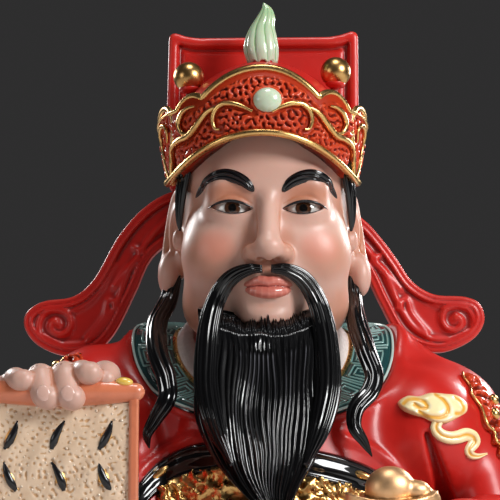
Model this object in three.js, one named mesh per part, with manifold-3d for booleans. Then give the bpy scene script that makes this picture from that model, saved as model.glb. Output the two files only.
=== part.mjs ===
// A glazed porcelain bust of a god of wealth: a bearded head in an official's hat with long drooping wings,
// the shoulders of his robe with its fret collar, a hand that holds up a scroll, and a gold ingot.
// It was cast as one, so it is one solid, cut off flat below. Millimetres, +Z up, the face looks along -Y,
// and x = 0, y = 0 lies under the middle of the head.

import * as THREE from 'three';
import { mergeVertices } from 'three/addons/utils/BufferGeometryUtils.js';
import Module from 'manifold-3d';

const wasm = await Module();
wasm.setup();

// The whole height, from the flat cut to the tip of the jade flame. The carving is given as shares of it:
// one share is a 167th of the height, which is a millimetre at the real size.
const bustHeight = 167;
const sharesInHeight = 167;
const share = bustHeight / sharesInHeight;
const wide = (size) => size / share; // a size in millimetres, as shares

// Sizes of the things that the figure wears and holds, in millimetres.
const panelWidth = 62;        // the tall board at the back of the hat
const panelThickness = 15;
const panelRim = 3;           // the raised edge of the board, and how far it stands out
const panelRelief = 1.4;
const wingThickness = 4.2;
const wingRim = 2.6;
const wingRelief = 1.3;
const ballDiameter = 9.3;     // the gold balls on the hat
const jadeDiameter = 8;       // the round stone on its front
const goldLine = 1.1;         // radius of the gold cords of the crown
const collarWidth = 13.5;
const collarThickness = 1.8;
const scrollWidth = 44;
const scrollThickness = 4.6;
const scrollFrame = 3.4;      // the orange border, and how far it stands out
const scrollRelief = 1.1;
const rodDiameter = 6.4;      // the roll along the scroll's top
const fingerDiameter = 7.6;
const ingotLength = 25;
const strapWidth = 7.6;

const TAU = 2 * Math.PI;
const clamp = (value, low, high) => Math.min(high, Math.max(low, value));
const mix = (a, b, t) => a + (b - a) * t;
const smooth = (t) => t * t * (3 - 2 * t);
const degrees = (angle) => (angle * Math.PI) / 180;

// A smooth curve through [t, value] pairs, for a width or a height that varies along a form.
function profile(pairs) {
  return (t) => {
    const last = pairs.length - 1;
    if (t <= pairs[0][0]) return pairs[0][1];
    if (t >= pairs[last][0]) return pairs[last][1];
    const i = pairs.findIndex((pair) => pair[0] > t) - 1;
    const [t0, v0] = pairs[i];
    const [t1, v1] = pairs[i + 1];
    return mix(v0, v1, smooth((t - t0) / (t1 - t0)));
  };
}

// Rounded forms as distances: negative inside, positive outside, in shares.

function ellipsoid([cx, cy, cz], [rx, ry, rz]) {
  return ([x, y, z]) => {
    const out = Math.hypot((x - cx) / rx, (y - cy) / ry, (z - cz) / rz);
    const slope = Math.hypot((x - cx) / rx ** 2, (y - cy) / ry ** 2, (z - cz) / rz ** 2);
    return slope > 0 ? (out * (out - 1)) / slope : -Math.min(rx, ry, rz);
  };
}

function limb(a, radiusA, b, radiusB) {
  const run = b.map((value, i) => value - a[i]);
  const length2 = run.reduce((sum, value) => sum + value * value, 0);
  return (p) => {
    const along = run.reduce((sum, value, i) => sum + value * (p[i] - a[i]), 0);
    const t = clamp(along / length2, 0, 1);
    const gap = Math.hypot(...p.map((value, i) => value - a[i] - run[i] * t));
    return gap - mix(radiusA, radiusB, t);
  };
}

const paired = (form) => ([x, y, z]) => form([Math.abs(x), y, z]);

function melt(softness, ...forms) {
  const join = (a, b) => {
    const overlap = Math.max(softness - Math.abs(a - b), 0) / softness;
    return Math.min(a, b) - (overlap * overlap * softness) / 4;
  };
  return (p) => forms.map((form) => form(p)).reduce(join);
}

function hollow(softness, form, tool) {
  return (p) => {
    const a = form(p);
    const b = -tool(p);
    const overlap = Math.max(softness - Math.abs(a - b), 0) / softness;
    return Math.max(a, b) + (overlap * overlap * softness) / 4;
  };
}

// The point where a straight way from outside first meets a form: its front at [x, z], its top at [x, y].
function meet(form, from, way, reach = 300) {
  const near = 0.01;
  let out = 0;
  for (let step = 0; step < 200; step += 1) {
    const gap = form(from.map((value, i) => value + way[i] * out));
    if (gap < near || out > reach) break;
    out += gap * 0.8;
  }
  return from.map((value, i) => value + way[i] * out);
}

const wellOutside = 110;

function frontOf(form, x, z, rise = 0) {
  const [, y] = meet(form, [x, -wellOutside, z], [0, 1, 0]);
  return [x, y - rise, z];
}

// Solids.

function solidOf(geometry) {
  const bare = new THREE.BufferGeometry();
  bare.setAttribute('position', geometry.getAttribute('position').clone());
  if (geometry.index) bare.setIndex(geometry.index.clone());
  const merged = mergeVertices(bare, 1e-4);
  return new wasm.Manifold(
    new wasm.Mesh({
      numProp: 3,
      vertProperties: new Float32Array(merged.getAttribute('position').array),
      triVerts: new Uint32Array(merged.index.array),
    }),
  );
}

// A closed skin from points in shares and faces that all turn the same way.
function closed(points, faces) {
  const places = points.flat().map((value) => value * share);
  const geometry = new THREE.BufferGeometry();
  geometry.setAttribute('position', new THREE.Float32BufferAttribute(places, 3));
  geometry.setIndex(faces.flat());
  const solid = solidOf(geometry);
  if (solid.volume() > 0) return solid;
  geometry.setIndex(faces.flatMap(([a, b, c]) => [b, a, c]));
  return solidOf(geometry);
}

// A skin of rings: place(u, v) gives a point, u once round a ring and v from the first ring to the last.
// The two ends are closed by fans, or the last ring joins the first where loop is true.
function rings(around, along, place, loop = false) {
  const points = [];
  const faces = [];
  const lines = loop ? along : along + 1;
  for (let j = 0; j < lines; j += 1) {
    for (let i = 0; i < around; i += 1) points.push(place(i / around, j / along));
  }
  const at = (i, j) => (j % lines) * around + (i % around);
  for (let j = 0; j < along; j += 1) {
    for (let i = 0; i < around; i += 1) {
      faces.push([at(i, j), at(i + 1, j), at(i + 1, j + 1)]);
      faces.push([at(i, j), at(i + 1, j + 1), at(i, j + 1)]);
    }
  }
  for (const j of loop ? [] : [0, along]) {
    const ring = points.slice(at(0, j), at(0, j) + around);
    const middle = [0, 1, 2].map((axis) => ring.reduce((sum, point) => sum + point[axis], 0) / around);
    const hub = points.push(middle) - 1;
    for (let i = 0; i < around; i += 1) {
      faces.push(j ? [at(i, j), at(i + 1, j), hub] : [at(i + 1, j), at(i, j), hub]);
    }
  }
  return closed(points, faces);
}

// The skin of a rounded form, found by walking in towards its heart along the rays of a globe. focus crowds
// the rays towards the front, gather crowds the rows towards the middle, and sweep ends the rows lower down.
function cast(form, heart, reach, around, along, { focus = 0, gather = 0, sweep = Math.PI } = {}) {
  const halfRow = Math.PI / (2 * along);
  return rings(around, along, (u, v) => {
    const turn = TAU * u - focus * Math.sin(TAU * u);
    const row = v + (gather * Math.sin(TAU * v)) / TAU;
    const tilt = mix(halfRow, sweep - halfRow, row);
    const way = [Math.sin(tilt) * Math.sin(turn), -Math.sin(tilt) * Math.cos(turn), Math.cos(tilt)];
    const outside = heart.map((value, i) => value + way[i] * reach);
    return meet(form, outside, way.map((value) => -value), reach);
  });
}

// A strand along a smooth path: its half width across and its half depth are each a function of 0 to 1.
function strand(points, sides, steps, halfWidth, halfDepth = halfWidth, across = [0, -1, 0]) {
  const knots = points.map((point) => new THREE.Vector3(...point));
  const path = new THREE.CatmullRomCurve3(knots, false, 'centripetal');
  const facing = new THREE.Vector3(...across);
  return rings(sides, steps, (u, v) => {
    const way = path.getTangentAt(v);
    const side = new THREE.Vector3().crossVectors(way, facing).normalize();
    const up = new THREE.Vector3().crossVectors(side, way).normalize();
    const turn = TAU * (u + 0.5 / sides);
    return path
      .getPointAt(v)
      .addScaledVector(side, Math.cos(turn) * halfWidth(v))
      .addScaledVector(up, Math.sin(turn) * halfDepth(v))
      .toArray();
  });
}

const even = (radius) => () => radius;
const tapered = (radius, tip = 0.15) => (t) => radius * Math.max(tip, Math.sqrt(Math.sin(Math.PI * t)));

function ball([x, y, z], radius) {
  const geometry = new THREE.SphereGeometry(radius * share, 8, 6);
  geometry.rotateX(Math.PI / 2).translate(x * share, y * share, z * share);
  return solidOf(geometry);
}

// A tray that faces the front: a plate with the outline points, [x, z], its rear face at y = back, and a
// raised edge, rim wide, that stands out by relief.
function tray(points, back, thickness, rim, relief) {
  const front = back - thickness;
  const area = THREE.ShapeUtils.area(points.map(([x, z]) => new THREE.Vector2(x, z)));
  if (area < 0) return tray([...points].reverse(), back, thickness, rim, relief);
  const loops = [
    [points, back],
    [points, front - relief],
    [drawnIn(points, rim), front - relief],
    [drawnIn(points, rim + relief / 2), front],
  ];
  const count = points.length;
  const faces = [];
  for (let j = 0; j < 3; j += 1) {
    for (let i = 0; i < count; i += 1) {
      const [a, b] = [j * count + i, j * count + ((i + 1) % count)];
      faces.push([a, b, b + count], [a, b + count, a + count]);
    }
  }
  for (const j of [0, 3]) {
    const flat = loops[j][0].map(([x, z]) => new THREE.Vector2(x, z));
    for (const [a, b, c] of THREE.ShapeUtils.triangulateShape(flat, [])) {
      faces.push((j ? [a, b, c] : [b, a, c]).map((corner) => corner + j * count));
    }
  }
  return closed(loops.flatMap(([loop, y]) => loop.map(([x, z]) => [x, y, z])), faces);
}

// A closed outline through a few points, evenly sampled, and the same outline drawn in by a distance.
function outline(points, samples) {
  const knots = points.map(([x, z]) => new THREE.Vector3(x, z, 0));
  const loop = new THREE.CatmullRomCurve3(knots, true, 'centripetal');
  return loop.getSpacedPoints(samples).slice(0, samples).map(({ x, y }) => [x, y]);
}

function drawnIn(points, distance) {
  const corners = points.map(([x, z]) => new THREE.Vector2(x, z));
  const turning = Math.sign(THREE.ShapeUtils.area(corners));
  return corners.map((corner, i) => {
    const before = corner.clone().sub(corners.at(i - 1)).normalize();
    const after = corners[(i + 1) % corners.length].clone().sub(corner).normalize();
    const reach = (turning * distance) / (1 + before.dot(after));
    return [corner.x - (before.y + after.y) * reach, corner.y + (before.x + after.x) * reach];
  });
}

const join = (solids) => solids.reduce((whole, piece) => whole.add(piece));
const onSide = (side, points) => points.map(([x, y, z]) => [x * side, y, z]);

// The head. Its face has the proportions of a drawing manual: the hair line, brow, nose and chin stand a
// third apart, and the face is five eyes wide.
const chin = 57;
const mouthLine = 73;
const noseBase = 80.5;
const eyeLine = 97.5;
const browLine = 104;
const headTop = 141;
const eyeApart = 11;
const faceMiddle = 88;

function headForm() {
  const skull = ellipsoid([0, 4, 112], [28, 32, headTop - 112]);
  const face = ellipsoid([0, -3, faceMiddle + 1], [26.4, 26.5, faceMiddle - chin]);
  const cheeks = paired(ellipsoid([14, -16.5, 84], [12, 11.5, 13]));
  const jaw = paired(ellipsoid([14.5, -8, 69.5], [11.5, 14, 11]));
  const chinBall = ellipsoid([0, -22.5, chin + 8], [9, 8.6, 8]);
  const brow = limb([-13, -24.5, browLine], 5.4, [13, -24.5, browLine], 5.4);
  const muzzle = ellipsoid([0, -21, mouthLine + 1.5], [12, 10.4, 9]);
  const socket = paired(ellipsoid([eyeApart, -34, eyeLine + 0.4], [8, 5.6, 4.6]));
  const eye = paired(ellipsoid([eyeApart, -22.6, eyeLine], [7.6, 6.8, 5.6]));
  const bridge = limb([0, -28.6, browLine - 4], 2.5, [0, -34.6, noseBase + 4.2], 3.7);
  const nostrils = paired(ellipsoid([4.4, -31, noseBase + 3], [3, 3.6, 2.7]));
  const mass = hollow(3, melt(6, skull, face, cheeks, jaw, chinBall, brow, muzzle), socket);
  return melt(2.4, mass, eye, bridge, nostrils);
}

function head() {
  return cast(headForm(), [0, -3, faceMiddle], 64, 26, 17, { focus: 0.6, gather: 0.4 });
}

const neck = () => strand([[0, 2, 44], [0, 1, 58], [0, 0, 74]], 10, 2, profile([[0, 21], [1, 18]]));

function ear(side) {
  const shell = ellipsoid([27.4 * side, 3, 96.5], [5.2, 6.2, 11]);
  const lobe = ellipsoid([31 * side, 1.5, 80], [3.4, 4.8, 7.4]);
  return cast(melt(3, shell, lobe), [29 * side, 2, 89], 24, 6, 6);
}

function brow(side) {
  const points = [[4.4, -29.6, -1.6], [8, -30, 1.8], [14, -28, 3.4], [20.6, -22, -0.6]];
  const path = points.map(([x, y, up]) => [x, y, browLine + up]);
  return strand(onSide(side, path), 4, 5, tapered(1.8), tapered(1.6));
}

function eyelid(side) {
  const points = [[-6.4, -26, -1], [-3, -29.4, 1.6], [2, -28.6, 1.6], [6, -24.4, -0.6]];
  const path = points.map(([out, y, up]) => [eyeApart + out, y, eyeLine + up]);
  return strand(onSide(side, path), 3, 3, tapered(1.1, 0.5), tapered(1.4, 0.5));
}

function lips() {
  const upper = [[-8, -28, 0.6], [-2.6, -31, 1.8], [2.6, -31, 1.8], [8, -28, 0.6]];
  const lower = [[-7, -27.8, -0.6], [0, -30.6, -2], [7, -27.8, -0.6]];
  const [upperPath, lowerPath] = [upper, lower].map((lip) => lip.map(([x, y, up]) => [x, y, mouthLine + up]));
  return strand(upperPath, 5, 5, tapered(1.7)).add(strand(lowerPath, 5, 5, tapered(2)));
}

// Hair and beard, in combed ridges.

function sideburn(side) {
  const path = [[26.6, -9, 112], [27.4, -10, 104], [26.8, -9, 95]];
  return strand(onSide(side, path), 4, 4, tapered(2.6), tapered(1.6));
}

function napeHair() {
  const form = melt(4, ellipsoid([0, 8, 93], [28.2, 26.5, 26]), limb([0, 16, 80], 17, [0, 12, 58], 18));
  return cast(form, [0, 12, 84], 60, 10, 6);
}

const lockPaths = [
  [[-27.6, 2, 84], [-30.4, -2, 72], [-33.8, -10, 64], [-33.6, -22, 54.5], [-30.2, -31, 45],
    [-29.8, -35, 39.5], [-33.4, -36, 33], [-35.6, -37, 28.6], [-35, -38, 25]],
  [[27.6, 2, 84], [28.4, -2, 73], [28.2, -13, 64], [29.6, -25, 54], [31.4, -31.5, 46],
    [29.8, -35, 41.4], [25.6, -38, 36.4], [25, -39.6, 31.4], [27.6, -40, 27], [29.8, -40.4, 22.6]],
];

function lock(path) {
  const width = profile([[0, 2.2], [0.3, 3.5], [0.75, 3.1], [1, 0.7]]);
  return strand(path, 5, 10, width, (t) => width(t) * 0.8);
}

// The beard hangs from the chin over the chest and draws in to a point that turns aside.
const beardTop = 60;
const beardTip = 3;
const beardMiddle = profile([[0, -1.6], [0.6, -2], [0.85, -0.8], [1, 3]]);
const beardHalfWidth = profile([[0, 19.4], [0.3, 20.2], [0.52, 19.2], [0.72, 14.4], [0.88, 6.6], [1, 1.6]]);
const beardFront = profile([[0, -34], [0.15, -38.5], [0.5, -47], [0.8, -52], [1, -54]]);
const beardDepth = profile([[0, 8], [0.2, 13], [0.6, 15], [0.85, 9], [1, 3]]);
const beardLocks = 9;
const beardComb = 1;          // how far each lock stands out beside the next
const beardBackSteps = 4;
const beardSway = 0.7;
const beardCornerRise = 7;    // the beard climbs the jaw at its upper corners, and lies further back there
const beardCornerDepth = 5;

function beard() {
  const frontSteps = 2 * beardLocks;
  const steps = frontSteps + beardBackSteps;
  return rings(steps, 9, (u, v) => {
    const i = Math.round(u * steps);
    const isFront = i <= frontSteps;
    const turn = isFront ? (Math.PI * i) / frontSteps : Math.PI * (1 + (i - frontSteps) / beardBackSteps);
    const across = -Math.cos(turn);
    const upper = 1 - v;
    const comb = isFront && i % 2 ? beardComb * Math.min(1, 4 * upper) : 0;
    const middle = beardFront(v) + beardDepth(v) / 2;
    const x = beardMiddle(v) + across * beardHalfWidth(v) + beardSway * Math.sin(beardLocks * v) * upper;
    const y = middle - (Math.sin(turn) * beardDepth(v)) / 2 - comb + beardCornerDepth * upper * across ** 4;
    return [x, y, mix(beardTop, beardTip, v) + beardCornerRise * across ** 2 * upper];
  });
}

function moustache(side) {
  const points = [[1.2, -33, 78.4], [6, -32.2, 78], [11.6, -29.8, 74.6], [15.6, -28.8, 68], [17.6, -31.4, 60],
    [17.8, -36, 48]];
  const middle = -0.6;
  const width = profile([[0, 1.2], [0.2, 2.3], [0.6, 2.8], [1, 1.2]]);
  const path = onSide(side, points).map(([x, y, z]) => [x + middle, y, z]);
  return strand(path, 5, 8, width, (t) => width(t) * 0.75);
}

// The hat: a cap in a scalloped crown, a tall board behind it, a jade flame and two gold balls.

const cap = () => cast(ellipsoid([0, 2, 118], [30.6, 32, 29.4]), [0, 2, 118], 40, 14, 5);

// The crown's wall stands round the head. turn is the angle from the front, height is in shares.
const crownSide = profile([[105, 29.4], [118, 33.2], [128, 35.2], [142, 33.4]]);
const crownFront = profile([[105, 34.6], [119, 35.6], [130, 36.2], [142, 31.5]]);

function crownPoint(turn, height, out = 0) {
  const side = crownSide(height) + out;
  const front = crownFront(height) + out;
  return [Math.sin(turn) * side, -Math.cos(turn) * front, height];
}

// Its lower rim dips from the brow towards the ears and rises again behind them.
const rimFront = 119.6;
const rimDip = 11.2;
const rimRise = 5;
const rimLowest = degrees(75);
const rimRiseTurn = degrees(60);

function crownRim(turn) {
  const t = Math.abs(turn);
  const dip = rimDip * Math.sin(1.2 * Math.min(t, rimLowest)) ** 2;
  return rimFront - dip + rimRise * smooth(clamp((t - rimLowest) / rimRiseTurn, 0, 1));
}

// Its upper edge is an arch in front, a lobe on either side of it, and a lower wall round the back.
const archTop = 142;
const archDrop = 10.2;
const archTurn = degrees(34.5);
const lobeTop = 134.8;
const lobeDrop = 4.2;
const lobeMiddle = degrees(46);
const lobeTurn = degrees(11.5);
const wallTop = 128.5;
const wallDrop = 6;
const wallStart = degrees(62);
const wallTurn = degrees(90);

function crownTop(turn) {
  const t = Math.abs(turn);
  const arch = archTop - archDrop * (t / archTurn) ** 2.1;
  const lobe = lobeTop - lobeDrop * ((t - lobeMiddle) / lobeTurn) ** 2;
  const wall = wallTop - wallDrop * smooth(clamp((t - wallStart) / wallTurn, 0, 1));
  return Math.max(arch, lobe, wall);
}

const crownBorder = 1.9;      // the gold lines along both edges, and how far they stand out
const crownRelief = 0.9;

function crown() {
  // [share of the way from rim to top, further up, further out] up the outside of the wall
  const rows = [
    [0, 0, crownRelief],
    [0, crownBorder, crownRelief],
    [0, crownBorder + crownRelief, 0],
    [0.5, 0, 0],
    [1, -crownBorder - crownRelief, 0],
    [1, -crownBorder, crownRelief],
    [1, 0, crownRelief],
  ];
  const last = rows.length - 1;
  return rings(26, last, (u, v) => {
    const [rise, up, out] = rows[Math.round(v * last)];
    const turn = TAU * (u - 0.5) - 0.5 * Math.sin(TAU * (u - 0.5));
    return crownPoint(turn, mix(crownRim(turn), crownTop(turn), rise) + up, out);
  });
}

// The gold curl that runs down each side of the crown from the jade, through [turn in degrees, height].
const crownCurl = [[8, 129.4], [16, 130.6], [24, 128], [34, 124], [46, 119], [53, 122.6], [47, 127]];

function curlOnCrown(side) {
  const points = crownCurl.map(([turn, height]) => crownPoint(side * degrees(turn), height));
  return strand(points, 3, 8, even(wide(goldLine)), even(wide(goldLine)), [0, 0, 1]);
}

// The leaf-shaped flap over each ear.
const flapTurn = degrees(84);
const flapFoot = 107.6;
const flapTip = 134;
const flapDepth = 1.65;

function flap(side) {
  const halfTurn = profile([[0, 1], [0.35, 13], [0.7, 15], [0.92, 9], [1, 3]]);
  return rings(5, 6, (u, v) => {
    const turn = TAU * u;
    const angle = side * (flapTurn + Math.sin(turn) * degrees(halfTurn(v)));
    const out = Math.sign(Math.cos(turn)) * flapDepth * Math.abs(Math.cos(turn)) ** 0.4;
    return crownPoint(angle, mix(flapFoot, flapTip, v), out);
  });
}

const jadePlace = [-0.4, -36.6, 129];

function jade() {
  const stone = ball([0, 0, 0], wide(jadeDiameter) / 2);
  return stone.scale([1, 0.7, 0.95]).translate(jadePlace.map((value) => value * share));
}

// The jade flame: a ribbed bud that leans to one side at its tip.
const flameFoot = 145;
const flameRibs = 5;
const flameRib = 0.07;        // how far a rib stands out, as a share of the bud's width
const flameFlatness = 0.8;
const flameBack = -8;

function flame() {
  const width = profile([[0, 4.2], [0.12, 5.6], [0.35, 5.1], [0.6, 3.9], [0.8, 2.3], [1, 0.35]]);
  const lean = profile([[0, -1], [0.3, -1.2], [0.75, 1.1], [1, -0.4]]);
  return rings(10, 6, (u, v) => {
    const turn = TAU * u;
    const out = width(v) * (1 + flameRib * Math.cos(flameRibs * turn + 2 * v) * Math.sin(Math.PI * v));
    const x = lean(v) + Math.sin(turn) * out;
    return [x, flameBack - Math.cos(turn) * out * flameFlatness, mix(flameFoot, sharesInHeight, v)];
  });
}

const ballPlaces = [[-24.7, -4, 143.5], [23, -4, 145.2]];
const stemLength = 10;
const stemRadius = 1.3;

function goldBall([x, y, z]) {
  const stem = strand([[x * 0.96, y, z - stemLength], [x, y, z]], 4, 2, even(stemRadius));
  return ball([x, y, z], wide(ballDiameter) / 2).add(stem);
}

const panelFront = 7.6;
const panelTop = 159;
const panelCornerRise = 2.4;

function panel() {
  const half = wide(panelWidth) / 2;
  const edge = [[-half, 112], [half, 112], [half * 0.985, 145]];
  for (const t of [1, 0.75, 0.5, -0.5, -0.75, -1]) {
    edge.push([t * half, panelTop + panelCornerRise * clamp(2 * Math.abs(t) - 1, 0, 1) ** 2]);
  }
  edge.push([-half * 0.985, 145]);
  const thickness = wide(panelThickness);
  const board = tray(edge, panelFront + thickness, thickness, wide(panelRim), wide(panelRelief));
  const rear = cast(ellipsoid([0, 14, 128], [27, 21, 28]), [0, 14, 128], 40, 12, 6);
  return board.add(rear);
}

// The hat's wings: drooping plates with a raised edge, and a vein that ends in a curl.
const wingFront = 20;
const leftWing = {
  edge: [[-20, 111], [-31.3, 109.5], [-39.9, 104.1], [-47.8, 94.9], [-56.6, 79.5], [-62.5, 74.8], [-73, 72.9],
    [-77.8, 69.5], [-78.7, 65.8], [-76.8, 61.4], [-72.6, 57.8], [-64, 55], [-55, 56.6], [-49.5, 61.6],
    [-42.3, 75.5], [-36.4, 88], [-24, 98]],
  curl: [-67.5, 65.2],
  vein: [[-57, 66], [-50, 74.5], [-46.5, 84], [-38, 95], [-30, 101]],
};
const rightWing = {
  edge: [[19, 109], [33.1, 101.3], [39, 95.2], [44.7, 87.5], [50, 79.8], [56.8, 75.8], [67.6, 74.9],
    [72, 72.9], [73.7, 67.6], [71.4, 62.5], [66, 58.6], [58.3, 56.4], [50, 58.4], [44.7, 62.4],
    [38.7, 73.1], [33, 84.5], [22, 95]],
  curl: [64, 67],
  vein: [[54, 67.5], [47.4, 73.6], [42, 83], [36, 90.5], [29, 97]],
};

function wing({ edge, curl, vein }) {
  const thickness = wide(wingThickness);
  const relief = wide(wingRelief);
  const base = tray(outline(edge, 24), wingFront + thickness, thickness, wide(wingRim), relief);
  const side = Math.sign(curl[0]);
  const steps = 7;
  const path = [];
  for (let i = 0; i <= steps; i += 1) {
    const turn = degrees(60 + i * 52);
    const radius = mix(1.8, 6, i / steps);
    path.push([curl[0] + side * Math.sin(turn) * radius, wingFront, curl[1] + Math.cos(turn) * radius]);
  }
  path.push(...vein.map(([x, z]) => [x, wingFront, z]));
  return base.add(strand(path, 3, 16, tapered(relief, 0.4)));
}

// The collar is a flat band that leans forward round the neck, flattens out over the breast and levels out
// behind. Its outer edge stands a little higher than its inner one.
const collarMiddle = [-0.6, 1];
const collarInner = [27.5, 25];
const collarOuter = [collarInner[0] + wide(collarWidth), collarInner[1] + 0.85 * wide(collarWidth)];
const collarRise = 56.3;
const collarDish = 1.9;
const collarSlope = 0.85;
const breastSlope = 0.6;
const breastStart = -20;
const napeRise = 7;

function collarHeight(y, across) {
  const behind = y > 0 ? napeRise * (1 - Math.exp((-collarSlope * y) / napeRise)) : 0;
  const before = collarSlope * clamp(y, breastStart, 0) + breastSlope * Math.min(y - breastStart, 0);
  return collarRise + collarDish * across + behind + before;
}

// How far a point is from the middle as seen from above: 0 at the collar's inner edge, 1 at its outer edge.
function acrossCollar([x, y]) {
  const [dx, dy] = [x - collarMiddle[0], y - collarMiddle[1]];
  const inner = Math.hypot(dx / collarInner[0], dy / collarInner[1]);
  const outer = Math.hypot(dx / collarOuter[0], dy / collarOuter[1]);
  return (inner - 1) / (inner - outer);
}

function beyondCollar([x, y]) {
  const [dx, dy] = [x - collarMiddle[0], y - collarMiddle[1]];
  return (Math.hypot(dx / collarOuter[0], dy / collarOuter[1]) - 1) * collarOuter[1];
}

function aboveCollar(p) {
  const lean = Math.cos(Math.atan(collarSlope));
  return (p[2] - collarHeight(p[1], clamp(acrossCollar(p), 0, 1))) * lean;
}

// The robe: broad shoulders, sleeves and folds, with a bed for the collar pressed into it.
const leftShoulder = [-52, 4, 40];
const rightShoulder = [56, 4, 36];
const shoulderRadius = 18.4;
const leftElbow = [-73, -8, 2];
const rightElbow = [77, -8, -4];
const elbowRadius = 19;

const trunkForm = (() => {
  const torso = ellipsoid([0, 3, 6], [57, 42, 47]);
  const chest = ellipsoid([0, -8, 14], [40, 30, 25]);
  const back = ellipsoid([0, 14, 40], [42, 26, 21]);
  const nape = [0, 6, 41];
  const napeRadius = 20.5;
  const toLeft = limb(nape, napeRadius, leftShoulder, shoulderRadius);
  const toRight = limb(nape, napeRadius, rightShoulder, shoulderRadius);
  const yoke = (p) => Math.max(beyondCollar(p) - 2.5, aboveCollar(p), -aboveCollar(p) - 10);
  const folds = [
    limb([41, -31, 31], 3, [52, -38, 2], 5),
    limb([-42, -29, 34], 3, [-38, -38, 4], 5),
    limb([-14, 43, 20], 3, [-18, 44, -4], 5),
    limb([16, 42, 24], 3, [24, 42, -4], 5),
  ];
  return melt(6, torso, chest, back, toLeft, toRight, yoke, ...folds);
})();

// The upper arms, each with a fold at its front, and a deep cleft between the right one and the chest.
const leftArm = melt(
  6,
  limb(leftShoulder, shoulderRadius, leftElbow, elbowRadius),
  limb([-50, -20, 42], 3, [-56, -32, 4], 5),
);
const rightArm = melt(
  6,
  limb(rightShoulder, shoulderRadius, rightElbow, elbowRadius),
  limb([57, -21, 38], 3.4, [69, -30, 2], 5.4),
);
const cleft = limb([53, -40, 29], 2, [61, -43, 0], 5);
const robeForm = hollow(3, melt(3, trunkForm, leftArm, rightArm), cleft);

// A ring round the neck whose section is given by [across, height] corners.
function neckRing(section) {
  const place = (u, v) => {
    const [across, rise] = section[Math.round(u * section.length)];
    const turn = TAU * v;
    const x = collarMiddle[0] + Math.sin(turn) * mix(collarInner[0], collarOuter[0], across);
    const y = collarMiddle[1] - Math.cos(turn) * mix(collarInner[1], collarOuter[1], across);
    return [x, y, collarHeight(y, clamp(across, 0, 1)) + rise];
  };
  return rings(section.length, 20, place, true);
}

function robe() {
  const cloth = hollow(3, trunkForm, cleft);
  const trunk = cast(cloth, [0, 0, 8], 125, 34, 9, { focus: 0.35, sweep: degrees(106) });
  const arms = [
    cast(leftArm, [-62, -3, 22], 70, 12, 7, { sweep: degrees(140) }),
    cast(rightArm, [66, -3, 18], 70, 12, 7, { sweep: degrees(140) }),
  ];
  const spaceAboveCollar = neckRing([[-0.25, 0.3], [1.02, 0.3], [1.5, 25], [-0.25, 25]]);
  return join([trunk.subtract(spaceAboveCollar), ...arms]);
}

// The band, with the inner collar standing up at its inner edge.
function collar() {
  const top = wide(collarThickness);
  return neckRing([[-0.32, 4.6], [-0.14, 5], [0, top], [1, top], [1, -3], [-0.32, -4]]);
}

function scrollSleeve() {
  const arm = limb([-73, -8, 6], 18, [-61, -56, 25], 10.5);
  const hanging = limb([-73, -20, 0], 18, [-62, -56, 6], 12);
  return cast(melt(9, arm, hanging), [-68, -34, 6], 60, 12, 6, { sweep: degrees(120) });
}

function ingotSleeve() {
  const arm = limb([77, -8, 0], 18, [50, -54, -3], 12);
  const cuff = limb([56, -50, -4], 13, [44, -60, -5], 12);
  return cast(melt(8, arm, cuff), [64, -32, -2], 60, 12, 6, { sweep: degrees(110) });
}

// The strap that arches over the gold belly plate.
const strapTop = 20.4;
const strapBend = 0.0135;
const strapEnd = 37;
const strapRise = 1.6;
const strapArch = (x) => strapTop - strapBend * x * x;

function strap() {
  const steps = 6;
  const path = [];
  for (let i = 0; i <= steps; i += 1) {
    const x = mix(-strapEnd, strapEnd, i / steps);
    path.push(frontOf(robeForm, x, strapArch(x), strapRise));
  }
  return strand(path, 4, 2 * steps, even(wide(strapWidth) / 2), even(strapRise + 2));
}

function bellyPlate() {
  return cast(ellipsoid([0, -22, -2], [30, 27.4, 19]), [0, -22, 1], 50, 14, 5, { sweep: degrees(110) });
}

// The relief cloud on the breast, with its tail.
const cloudMiddle = [50.6, 38];
const cloudTail = [[51.4, 34.8], [49.2, 31.9], [52.8, 29], [59, 29.8], [62.6, 28.2], [61.6, 24.6],
  [66.8, 23.8]];

function cloud() {
  const lobe = (x, z, across, up) => ellipsoid(frontOf(robeForm, x, z, 0.8), [across, 3, up]);
  const lobes = melt(2, lobe(44, 37.3, 4.6, 3.3), lobe(50.6, 38.3, 5.2, 4), lobe(57.6, 37.8, 5, 3.4));
  const tail = cloudTail.map(([x, z]) => frontOf(robeForm, x, z, 1.2));
  const cloudHead = cast(lobes, frontOf(robeForm, ...cloudMiddle, -1), 20, 11, 4);
  return cloudHead.add(strand(tail, 4, 11, tapered(1.8, 0.4), even(2)));
}

// The carved guard over each sleeve: bosses along a band.
const guardBosses = 5;
const guardDepth = 3;
const guardBoss = 0.8;
const guards = [
  { path: [[66, 46], [72, 36], [77, 22], [80, 4]], halfWidth: 5 },
  { path: [[-63, 50], [-66, 42], [-68, 32]], halfWidth: 4.5 },
];

function sleeveGuard({ path, halfWidth }) {
  const points = path.map(([x, z]) => frontOf(robeForm, x, z));
  const width = profile([[0, halfWidth / 2], [0.35, halfWidth]]);
  const depth = (t) => guardDepth + guardBoss * Math.cos(TAU * guardBosses * t);
  return strand(points, 4, 2 * guardBosses, width, depth, [0.3, -0.8, 0.2]);
}

// The scroll hangs from its rod in front of the sleeve and is cut off below with the figure.
const scrollMiddle = -57.6;
const scrollFront = -78;
const scrollTop = 37.5;
const rodPlace = [scrollFront + 1.4, scrollTop + 1.4];
const rodOverhang = 1.6;

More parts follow.
